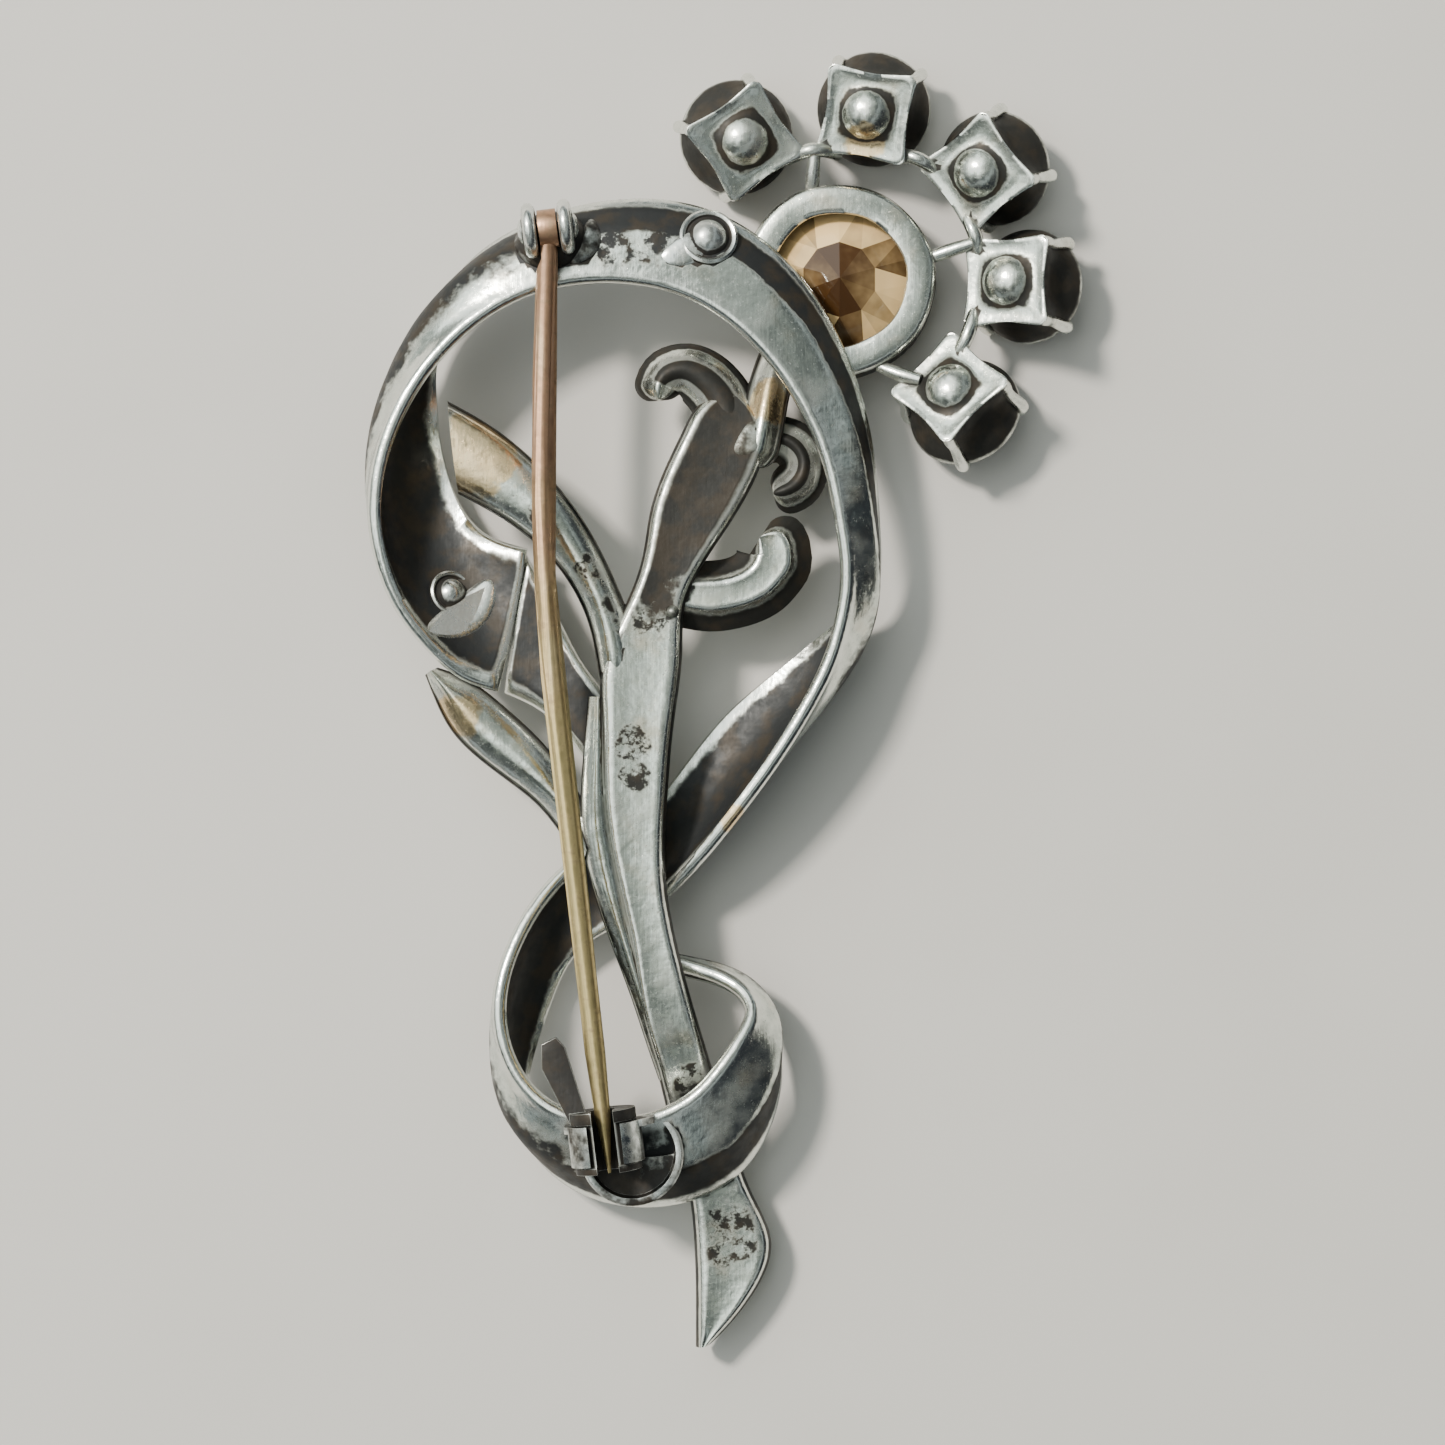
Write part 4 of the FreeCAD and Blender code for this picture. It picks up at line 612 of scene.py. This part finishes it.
def patch_part(host, centre, outline, height, steps=64, rings=9, wear_and_highlight=0.2, patina=0.0, sink=0.12, power=0.5):
    """A pool of solder on another piece's surface: outline(angle) is its reach about a centre."""
    corners, sides = [v.co for v in host.data.vertices], [p.vertices[:] for p in host.data.polygons]
    tree = BVHTree.FromPolygons(corners, sides)
    points = []
    for ring in range(rings):
        share = math.sin(math.pi / 2 * ring / (rings - 1)) if ring else 0.01
        for k in range(steps):
            angle = 2 * math.pi * k / steps
            dx, dy = outline(angle)
            x, y = centre[0] + dx * share, centre[1] + dy * share
            start = Vector(((x - DRAWN_ORIGIN[0]) * MM, (y - DRAWN_ORIGIN[1]) * MM, ABOVE))
            hit = tree.ray_cast(start, Vector((0, 0, -1)))
            level = hit[0].z / MM + DRAWN_ORIGIN[2] if hit[0] is not None else None
            swell = height * max(0.0, 1 - share ** 2) ** power - sink * share ** 6
            points.append((x, y, level, swell))
    lowest = min(level for _, _, level, _ in points if level is not None)
    top = [(x, y, (lowest if level is None else level) + swell) for x, y, level, swell in points]
    return top, ring_faces(rings, steps), [wear_and_highlight] * len(top), [patina] * len(top)


def oval(long, short, turn=0.0, bend=0.0):
    """An outline about a centre: an ellipse turned by degrees, with its ends bent aside."""
    turn = math.radians(turn)

    def reach(angle):
        u, v = long * math.cos(angle), short * math.sin(angle)
        v += bend * (u / long) ** 2 - bend * 0.4
        return u * math.cos(turn) - v * math.sin(turn), u * math.sin(turn) + v * math.cos(turn)
    return reach


shown = {piece.name: piece for piece in made}
loop_shown, stem_shown = shown["ribbon_loop_shown"], shown["stem_shown"]
add_piece("hinge_base_shown", [
    lathe_part(EAR, HINGE @ Matrix.Translation((0, 0, -EAR_PLACE)), 64),
    lathe_part(EAR, HINGE @ Matrix.Translation((0, 0, EAR_PLACE)), 64),
    patch_part(loop_shown, (-10.0, 28.2), oval(2.2, 1.9, 6.9), 1.0, wear_and_highlight=0.1, patina=0.5),
    patch_part(loop_shown, (-7.9, 27.9), oval(1.6, 0.75, 62, 0.5), 0.35, wear_and_highlight=0.1, patina=0.35),
], "brooch", ["hinge_base"], "silver_fittings", FITTING_EDGE)
RIVET_END = [(0.02, 1.82, 1, 0), (0.4, 1.79, 0.9, 0), (0.62, 1.68, 0.7, 0), (0.73, 1.57, 0.5, 0.1),
             (0.74, 1.51, 0.1, 0.5), (0.42, 1.5, 0, 0.9)]
add_piece("hinge_rivet_shown", [
    lathe_part([(r, -z, wear_and_highlight, patina) for r, z, wear_and_highlight, patina in RIVET_END] + RIVET_END[::-1], HINGE, 48),
], "brooch", ["hinge_rivet"], "silver_fittings", FITTING_EDGE)
for node, width in (("catch_cup", 0.16), ("catch_housing", 0.14)):
    refined(node, "brooch", "silver_fittings", width)
refined("catch_rotor", "rotor", "silver_fittings", 0.1, 0.6)
refined("pin_stem", "pin", "pin_brass", 0.2)

RIVET = [
    (0.02, 0.74, 1, 0), (0.3, 0.71, 0.9, 0), (0.6, 0.6, 0.6, 0), (0.9, 0.4, 0.2, 0.1), (1.12, 0.16, 0, 0.6),
    (1.2, 0.0, 0, 1), (1.32, -0.02, 0, 1), (1.45, 0.1, 0.5, 0.2), (1.6, 0.16, 0.9, 0), (1.74, 0.08, 0.5, 0.3),
    (1.78, -0.12, 0, 0.9), (0.62, -0.2, 0, 0.9), (0.6, -0.95, 0, 0.9), (0.92, -1.05, 0.3, 0.5),
    (0.8, -1.3, 0.6, 0.2), (0.3, -1.36, 0.8, 0),
]


def rivet(node, centre, axis, solder, scale=1.0):
    """A domed rivet head in a shallow collar, with the pool of solder beside it."""
    turn = Vector((0, 0, 1)).rotation_difference(Vector(axis)).to_matrix().to_4x4()
    place = Matrix.Translation(centre) @ turn @ Matrix.Diagonal((scale, scale, 1, 1))
    head = lathe_part(RIVET, place, 64)
    add_piece(f"{node}_shown", [head, solder], "brooch", [node], "silver_fittings", RING_EDGE)


flower_pool = patch_part(loop_shown, (-1.7, 27.7), oval(1.9, 1.0, 35, 0.4), 0.14, wear_and_highlight=0.25)
rivet("rivet_flower", (-0.5, 28.3, 6.9), (0.1, 0.3, 0.95), flower_pool)
ribbon_pool = patch_part(loop_shown, (-15.25, 6.0), oval(2.6, 1.25, 40, 0.6), 0.26, wear_and_highlight=0.9, power=0.2,
                         sink=0.3)
rivet("rivet_ribbon", (-16.1, 7.1, 3.5), (0.44, 0.25, 0.85), ribbon_pool, 0.8)
for name, spot, shape, height in (("solder_notch", (-2.7, 5.9), oval(0.45, 0.4), 0.35),
                                  ("solder_neck", (1.9, 16.3), oval(1.3, 0.8, 60, 0.3), 0.1)):
    pool = patch_part(stem_shown, spot, shape, height, 48, 7, 0.15, 0.3)
    add_piece(name, [pool], "brooch", ["stem"], "silver_cast", CUP_EDGE)

# ------------------------------------------------------------------ how open each point is, for the painted shade

SKY_RAYS = 18
SKY_REACH = 0.006  # metres: metal farther off than this doesn't shade a point
SKY_START = 4e-5  # metres above the point, where its rays start
GOLDEN_ANGLE = 2.399963  # radians: spreads the rays evenly


def openness():
    """Stores on each piece how much of the sky each of its points sees past the other metal, from 0 to 1; the
    materials paint shade and patina where it is low.
    """
    corners, faces = [], []
    for piece in made:
        start = len(corners)
        corners += [v.co for v in piece.data.vertices]
        faces += [[start + i for i in p.vertices] for p in piece.data.polygons]
    tree = BVHTree.FromPolygons(corners, faces)
    rays = []
    for k in range(SKY_RAYS):
        height = 1 - (k + 0.5) / SKY_RAYS * 0.94
        turn = k * GOLDEN_ANGLE
        flat = math.sqrt(1 - height * height)
        rays.append((flat * math.cos(turn), flat * math.sin(turn), height))
    for piece in made:
        mesh = piece.data
        values = np.ones(len(mesh.vertices), np.float32)
        for v in mesh.vertices:
            normal = v.normal
            helper = Vector((1, 0, 0)) if abs(normal.x) < 0.7 else Vector((0, 1, 0))
            side = normal.cross(helper).normalized()
            other = normal.cross(side)
            start = v.co + normal * SKY_START
            seen = 0.0
            for x, y, z in rays:
                hit = tree.ray_cast(start, side * x + other * y + normal * z, SKY_REACH)
                seen += 1.0 if hit[0] is None else min(1.0, hit[3] / SKY_REACH) * 0.8
            values[v.index] = seen / SKY_RAYS
        store(mesh, "open", values)


openness()

# ------------------------------------------------------------------ materials


class Graph:
    """A small helper to write node materials as expressions."""

    def __init__(self, name):
        self.material = bpy.data.materials.new(name)
        self.material.use_nodes = True
        self.tree = self.material.node_tree
        self.shader = self.tree.nodes["Principled BSDF"]
        self.place = self.tree.nodes.new("ShaderNodeTexCoord").outputs["Object"]

    def link(self, value, socket):
        if isinstance(value, bpy.types.NodeSocket):
            self.tree.links.new(value, socket)
        else:
            socket.default_value = value

    def set(self, **values):
        for name, value in values.items():
            self.link(value, self.shader.inputs[name.replace("_", " ")])

    def math(self, kind, a, b=0.0, clamp=False):
        node = self.tree.nodes.new("ShaderNodeMath")
        node.operation, node.use_clamp = kind, clamp
        self.link(a, node.inputs[0])
        self.link(b, node.inputs[1])
        return node.outputs[0]

    def mix(self, share, a, b):
        node = self.tree.nodes.new("ShaderNodeMix")
        node.data_type = "RGBA"
        for value, key in ((share, 0), (a, 6), (b, 7)):
            if isinstance(value, tuple) and len(value) == 3:
                value = (*value, 1.0)
            self.link(value, node.inputs[key])
        return node.outputs[2]

    def noise(self, scale, detail=3.0, rough=0.55, stretch=None):
        node = self.tree.nodes.new("ShaderNodeTexNoise")
        node.inputs["Scale"].default_value = scale
        node.inputs["Detail"].default_value = detail
        node.inputs["Roughness"].default_value = rough
        place = self.place
        if stretch:
            mapping = self.tree.nodes.new("ShaderNodeMapping")
            mapping.inputs["Scale"].default_value = stretch
            self.tree.links.new(place, mapping.inputs["Vector"])
            place = mapping.outputs["Vector"]
        self.tree.links.new(place, node.inputs["Vector"])
        return node.outputs["Fac"]

    def attribute(self, name):
        node = self.tree.nodes.new("ShaderNodeAttribute")
        node.attribute_name = name
        return node.outputs["Fac"]

    def range(self, value, low, high, to_low=0.0, to_high=1.0):
        node = self.tree.nodes.new("ShaderNodeMapRange")
        node.interpolation_type = "SMOOTHSTEP"
        for v, key in ((value, 0), (low, 1), (high, 2), (to_low, 3), (to_high, 4)):
            self.link(v, node.inputs[key])
        return node.outputs[0]

    def bump(self, height, distance, strength=1.0, after=None):
        node = self.tree.nodes.new("ShaderNodeBump")
        node.inputs["Distance"].default_value = distance
        node.inputs["Strength"].default_value = strength
        self.link(height, node.inputs["Height"])
        if after:
            self.tree.links.new(after, node.inputs["Normal"])
        return node.outputs["Normal"]

    def near(self, spot, radius):
        """1 within a radius of a spot, fading out at its edge."""
        node = self.tree.nodes.new("ShaderNodeVectorMath")
        node.operation = "DISTANCE"
        self.tree.links.new(self.place, node.inputs[0])
        node.inputs[1].default_value = [float(v) for v in (np.array(spot) - DRAWN_ORIGIN) * MM]
        ragged = self.math("MULTIPLY", self.math("SUBTRACT", self.noise(900, 2), 0.5), radius * 0.9 * MM)
        return self.range(self.math("ADD", node.outputs["Value"], ragged), radius * MM, radius * 0.75 * MM)


def silver(name, bright, middle, patina_colour, tint, patina, gloss, speckle, gilt_and_glint=(), stained=()):
    """Old polished silver: bright where it is handled, brown-black where polish doesn't reach.

    Where a point sees little sky, on undersides and the ribbons' shaded faces, it is darkened as painted
    shade as well as patina, and rims are painted lighter as a highlight as well as rubbed bright. bright and
    middle are the metal's colours, tint warms it in clouds, patina is how strong the patina clouds are, gloss
    is the least roughness, speckle is how strong the fine spots of patina are, gilt_and_glint are (spot,
    radius) of gilt tints and, on the ribbon, of a painted warm glint, and stained are (spot, radius) where it
    is mottled.
    """
    g = Graph(name)
    opened, edge, dark = g.attribute("open"), g.attribute("edge"), g.attribute("dark")
    broad, fine, grain = g.noise(260, 4), g.noise(1300, 4, 0.6), g.noise(5200, 3, 0.7)
    ragged = g.math("MULTIPLY", g.math("SUBTRACT", fine, 0.5), 0.5)
    # Painted shade as well as patina: darker where a point sees little sky past the other metal.
    hollow_shade_and_patina = g.range(g.math("ADD", opened, ragged), 0.86, 0.45)
    # Painted shade as well as patina, laid on the pieces' points: the ribbons' shaded faces, the sides of
    # bars and cups.
    laid_shade_and_patina = g.range(g.math("ADD", dark, g.math("ADD", ragged, g.math("SUBTRACT", broad, 0.5))), 0.12, 0.62)
    laid_shade_and_patina = g.math("MULTIPLY", laid_shade_and_patina, g.range(dark, 0.0, 0.35))
    cloud = g.math("MULTIPLY", g.range(broad, 0.50, 0.72), patina)
    patina_and_shade = g.math("MAXIMUM", g.math("MAXIMUM", hollow_shade_and_patina, laid_shade_and_patina), cloud)
    for spot, radius in stained:
        mottled = g.math("MULTIPLY", g.near(spot, radius), g.range(g.noise(1100, 5, 0.7), 0.40, 0.58))
        patina_and_shade = g.math("MAXIMUM", patina_and_shade, g.math("MULTIPLY", mottled, 0.85))
    spots = g.math("MULTIPLY", g.range(grain, 0.60, 0.70), speckle)
    patina_and_shade = g.math("MAXIMUM", patina_and_shade, g.math("MULTIPLY", spots, g.range(fine, 0.42, 0.6)))
    rubbed = g.math("MULTIPLY", edge, g.range(fine, 0.25, 0.6, 0.92, 0.7))
    patina_and_shade = g.math("MULTIPLY", patina_and_shade, g.math("SUBTRACT", 1.0, rubbed), True)
    colour = g.mix(g.range(fine, 0.35, 0.68), bright, middle)
    colour = g.mix(g.math("MULTIPLY", g.range(g.noise(420, 3), 0.52, 0.72), 0.5), colour, tint)
    # Rims and free ends painted lighter: rubbed bright by handling, and a painted highlight.
    colour = g.mix(g.math("MULTIPLY", edge, 0.6), colour, (0.90, 0.91, 0.86))
    # Warm spots: gilt tints, and on the ribbon a painted warm glint.
    for spot, radius in gilt_and_glint:
        colour = g.mix(g.math("MULTIPLY", g.near(spot, radius), 0.75), colour, (0.88, 0.62, 0.30))
    brown = g.mix(g.range(g.noise(700, 3), 0.42, 0.66), patina_colour, (0.027, 0.019, 0.012))
    # Brown-black wherever the patina and the painted shade lie.
    colour = g.mix(g.range(patina_and_shade, 0.0, 0.8, 0.0, 0.985), colour, brown)
    rough = g.math("ADD", g.range(fine, 0.3, 0.75, gloss, gloss + 0.14), g.math("MULTIPLY", patina_and_shade, 0.30))
    rough = g.math("ADD", rough, g.math("MULTIPLY", g.noise(5200, 2, 0.6, (1, 0.12, 1)), 0.08))
    g.set(Base_Color=colour, Roughness=rough, Metallic=g.math("SUBTRACT", 1.0, g.math("MULTIPLY", patina_and_shade, 0.8)))
    g.shader.inputs["Specular IOR Level"].default_value = 0.35
    wavy = g.bump(broad, 0.00025, 0.55)
    scratched = g.bump(g.noise(7000, 2, 0.5, (1, 0.06, 1)), 0.00001, 0.5, wavy)
    g.set(Normal=g.bump(g.math("SUBTRACT", fine, g.math("MULTIPLY", spots, 0.8)), 0.00002, 0.5, scratched))
    return g.material


GOLDEN = (
    ((-14.2, 15.4, 6.1), 2.8), ((-15.7, -0.4, 5.3), 1.6), ((3.3, 18.6, 5.3), 1.6),
    ((8.9, 34.3, 4.6), 1.4),
)
STAINED = (
    ((-4.4, 6.4, 6.1), 2.6), ((-5.1, -2.0, 6.1), 1.3), ((-4.9, -4.0, 6.0), 1.1),
    ((-1.2, -22.4, 4.7), 1.6), ((0.6, -31.8, 2.8), 2.3), ((-0.6, 12.0, 5.9), 3.6),
    ((-7.6, 8.2, 6.1), 1.4), ((-10.5, 12.0, 6.1), 1.0),
)
RIBBON_STAINED = (((-5.2, 28.6, 6.2), 3.0), ((-12.6, 26.9, 4.0), 2.4), ((-1.2, -25.0, 5.0), 1.1))
SILVERS = {
    # The ribbon's warm spot is a painted glint along its lower rim.
    "silver_ribbon": ((0.78, 0.82, 0.76), (0.60, 0.645, 0.595), (0.009, 0.010, 0.012), (0.60, 0.55, 0.44),
                      0.25, 0.10, 0.25, (((1.0, -6.6, 5.6), 1.0),), RIBBON_STAINED),
    "silver_cast": ((0.76, 0.80, 0.73), (0.56, 0.60, 0.53), (0.011, 0.010, 0.009), (0.60, 0.52, 0.38),
                    0.3, 0.13, 0.45, GOLDEN, STAINED),
    "silver_fittings": ((0.76, 0.80, 0.78), (0.55, 0.58, 0.55), (0.013, 0.011, 0.010), (0.6, 0.54, 0.42),
                        0.35, 0.13, 0.3),
}
FINISHES = {name: silver(name, *looks) for name, looks in SILVERS.items()}


def wire():
    """Pin wire: brassy along the run, coppery and tarnished towards the hinge."""
    g = Graph("pin_brass")
    split = g.tree.nodes.new("ShaderNodeSeparateXYZ")
    g.tree.links.new(g.place, split.inputs[0])
    fine, broad = g.noise(1500, 4), g.noise(350, 3)
    rise = g.math("ADD", split.outputs["Y"], g.math("MULTIPLY", g.math("SUBTRACT", broad, 0.5), 0.012))
    colour = g.mix(g.range(rise, -0.004, 0.016), (0.58, 0.46, 0.22), (0.50, 0.30, 0.19))
    colour = g.mix(g.range(fine, 0.5, 0.72, 0, 0.6), colour, (0.26, 0.19, 0.12))
    streaks = g.range(g.noise(500, 3, 0.5, (1, 0.2, 1)), 0.55, 0.75, 0, 0.45)
    colour = g.mix(streaks, colour, (0.74, 0.62, 0.40))
    g.set(Base_Color=colour, Metallic=0.9, Roughness=g.range(fine, 0.3, 0.75, 0.28, 0.5))
    g.set(Normal=g.bump(g.noise(6000, 2, 0.5, (1, 0.1, 1)), 0.00001, 0.6, g.bump(fine, 0.00003, 0.5)))
    return g.material


FINISHES["pin_brass"] = wire()


def glassy(name, light, shaded_facet_colour, clear):
    """Cut glass over foil: each facet has its own painted light or shade, with faint clouds and scratches."""
    g = Graph(name)
    cloud = g.math("MULTIPLY", g.math("SUBTRACT", g.noise(500, 3), 0.5), 0.5)
    tone = g.math("ADD", g.attribute("tone"), cloud)
    g.set(Base_Color=g.mix(g.range(tone, 0.05, 0.85), shaded_facet_colour, light))
    g.shader.inputs["Transmission Weight"].default_value = clear
    g.shader.inputs["IOR"].default_value = 1.56
    g.set(Roughness=g.range(g.noise(900, 2), 0.4, 0.7, 0.03, 0.09))
    g.set(Normal=g.bump(g.noise(2500, 2), 0.00001, 0.3))
    return g.material


# For each stone, the colour of its facets painted lit and of those painted shaded.
FINISHES["stone_amber"] = glassy("stone_amber", (0.98, 0.68, 0.33), (0.06, 0.027, 0.009), 0.08)
FINISHES["stone_smoky"] = glassy("stone_smoky", (0.85, 0.83, 0.78), (0.22, 0.19, 0.16), 0.7)

for piece in [*made, centre_gem, *petal_gems]:
    piece.data.materials.clear()
    piece.data.materials.append(FINISHES[piece["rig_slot"]])
for row in frame["record"]["subparts"]:
    node = frame["nodes"][row["node"]]
    node.data.materials.clear()
    node.data.materials.append(FINISHES[row["material_slot"]])

# ------------------------------------------------------------------ floor, light and camera

FLOOR_HALF = 1.5
FLOOR_DROP = 0.00003  # just clear of the stones that the brooch lies on


def floor():
    """A plain pale floor under the brooch."""
    mesh = bpy.data.meshes.new("floor")
    corners = [(x * FLOOR_HALF, y * FLOOR_HALF, -FLOOR_DROP) for x, y in ((-1, -1), (1, -1), (1, 1), (-1, 1))]
    mesh.from_pydata(corners, [], [(0, 1, 2, 3)])
    ground = place_object("floor", mesh)
    g = Graph("floor_pale")
    g.set(Base_Color=g.mix(g.range(g.noise(40, 2), 0.4, 0.7, 0, 0.5), (0.66, 0.64, 0.61), (0.62, 0.60, 0.57)))
    g.shader.inputs["Roughness"].default_value = 0.75
    mesh.materials.append(g.material)


def lamp(name, place, size, power, colour):
    """A square soft light that looks at the brooch."""
    data = bpy.data.lights.new(name, "AREA")
    data.size, data.energy, data.color = size, power, colour
    light = place_object(name, data)
    light.location = place
    light.rotation_mode = "QUATERNION"
    light.rotation_quaternion = Vector(place).to_track_quat("Z", "Y")


floor()
lamp("key", (-0.40, 0.31, 0.62), 0.11, 8.5, (1.0, 0.94, 0.85))

BRIGHT_SIDE = (-0.50, 0.38, 0.78)
UNEVEN = 0.9  # how far clouds bend the room's bands
# The room's brightness, from the side away from BRIGHT_SIDE to the one towards it.
SKY_STOPS = ((0.0, (0.03, 0.034, 0.04)), (0.32, (0.46, 0.52, 0.52)), (0.50, (0.03, 0.034, 0.038)),
             (0.75, (0.38, 0.425, 0.395)), (0.92, (1.9, 2.03, 1.95)))


def studio():
    """A room bright high on the left and dark low on the right, in soft bands that polished metal shows."""
    world = bpy.data.worlds.new("studio")
    bpy.context.scene.world = world
    world.use_nodes = True
    tree = world.node_tree
    add, join = tree.nodes.new, tree.links.new
    place = add("ShaderNodeTexCoord")
    toward = add("ShaderNodeVectorMath")
    toward.operation = "DOT_PRODUCT"
    toward.inputs[1].default_value = Vector(BRIGHT_SIDE).normalized()
    join(place.outputs["Generated"], toward.inputs[0])
    clouds = add("ShaderNodeTexNoise")
    clouds.inputs["Scale"].default_value, clouds.inputs["Detail"].default_value = 2.2, 2.0
    join(place.outputs["Generated"], clouds.inputs["Vector"])
    mixed = add("ShaderNodeMath")
    mixed.operation = "MULTIPLY_ADD"
    mixed.inputs[1].default_value, mixed.inputs[2].default_value = UNEVEN, -UNEVEN / 2
    join(clouds.outputs["Fac"], mixed.inputs[0])
    total = add("ShaderNodeMath")
    join(toward.outputs["Value"], total.inputs[0])
    join(mixed.outputs[0], total.inputs[1])
    ramp = add("ShaderNodeValToRGB")
    ramp.color_ramp.interpolation = "EASE"
    while len(ramp.color_ramp.elements) < len(SKY_STOPS):
        ramp.color_ramp.elements.new(0.5)
    for element, (position, colour) in zip(ramp.color_ramp.elements, SKY_STOPS):
        element.position, element.color = position, (*colour, 1)
    join(total.outputs[0], ramp.inputs[0])
    join(ramp.outputs["Color"], tree.nodes["Background"].inputs["Color"])
    tree.nodes["Background"].inputs["Strength"].default_value = 1.0


studio()
camera_data = bpy.data.cameras.new("camera")
camera_data.lens, camera_data.sensor_width = 103.0, 36.0
camera = place_object("camera", camera_data)
camera.location = (-0.00012, -0.00137, 0.2545)
bpy.context.scene.camera = camera
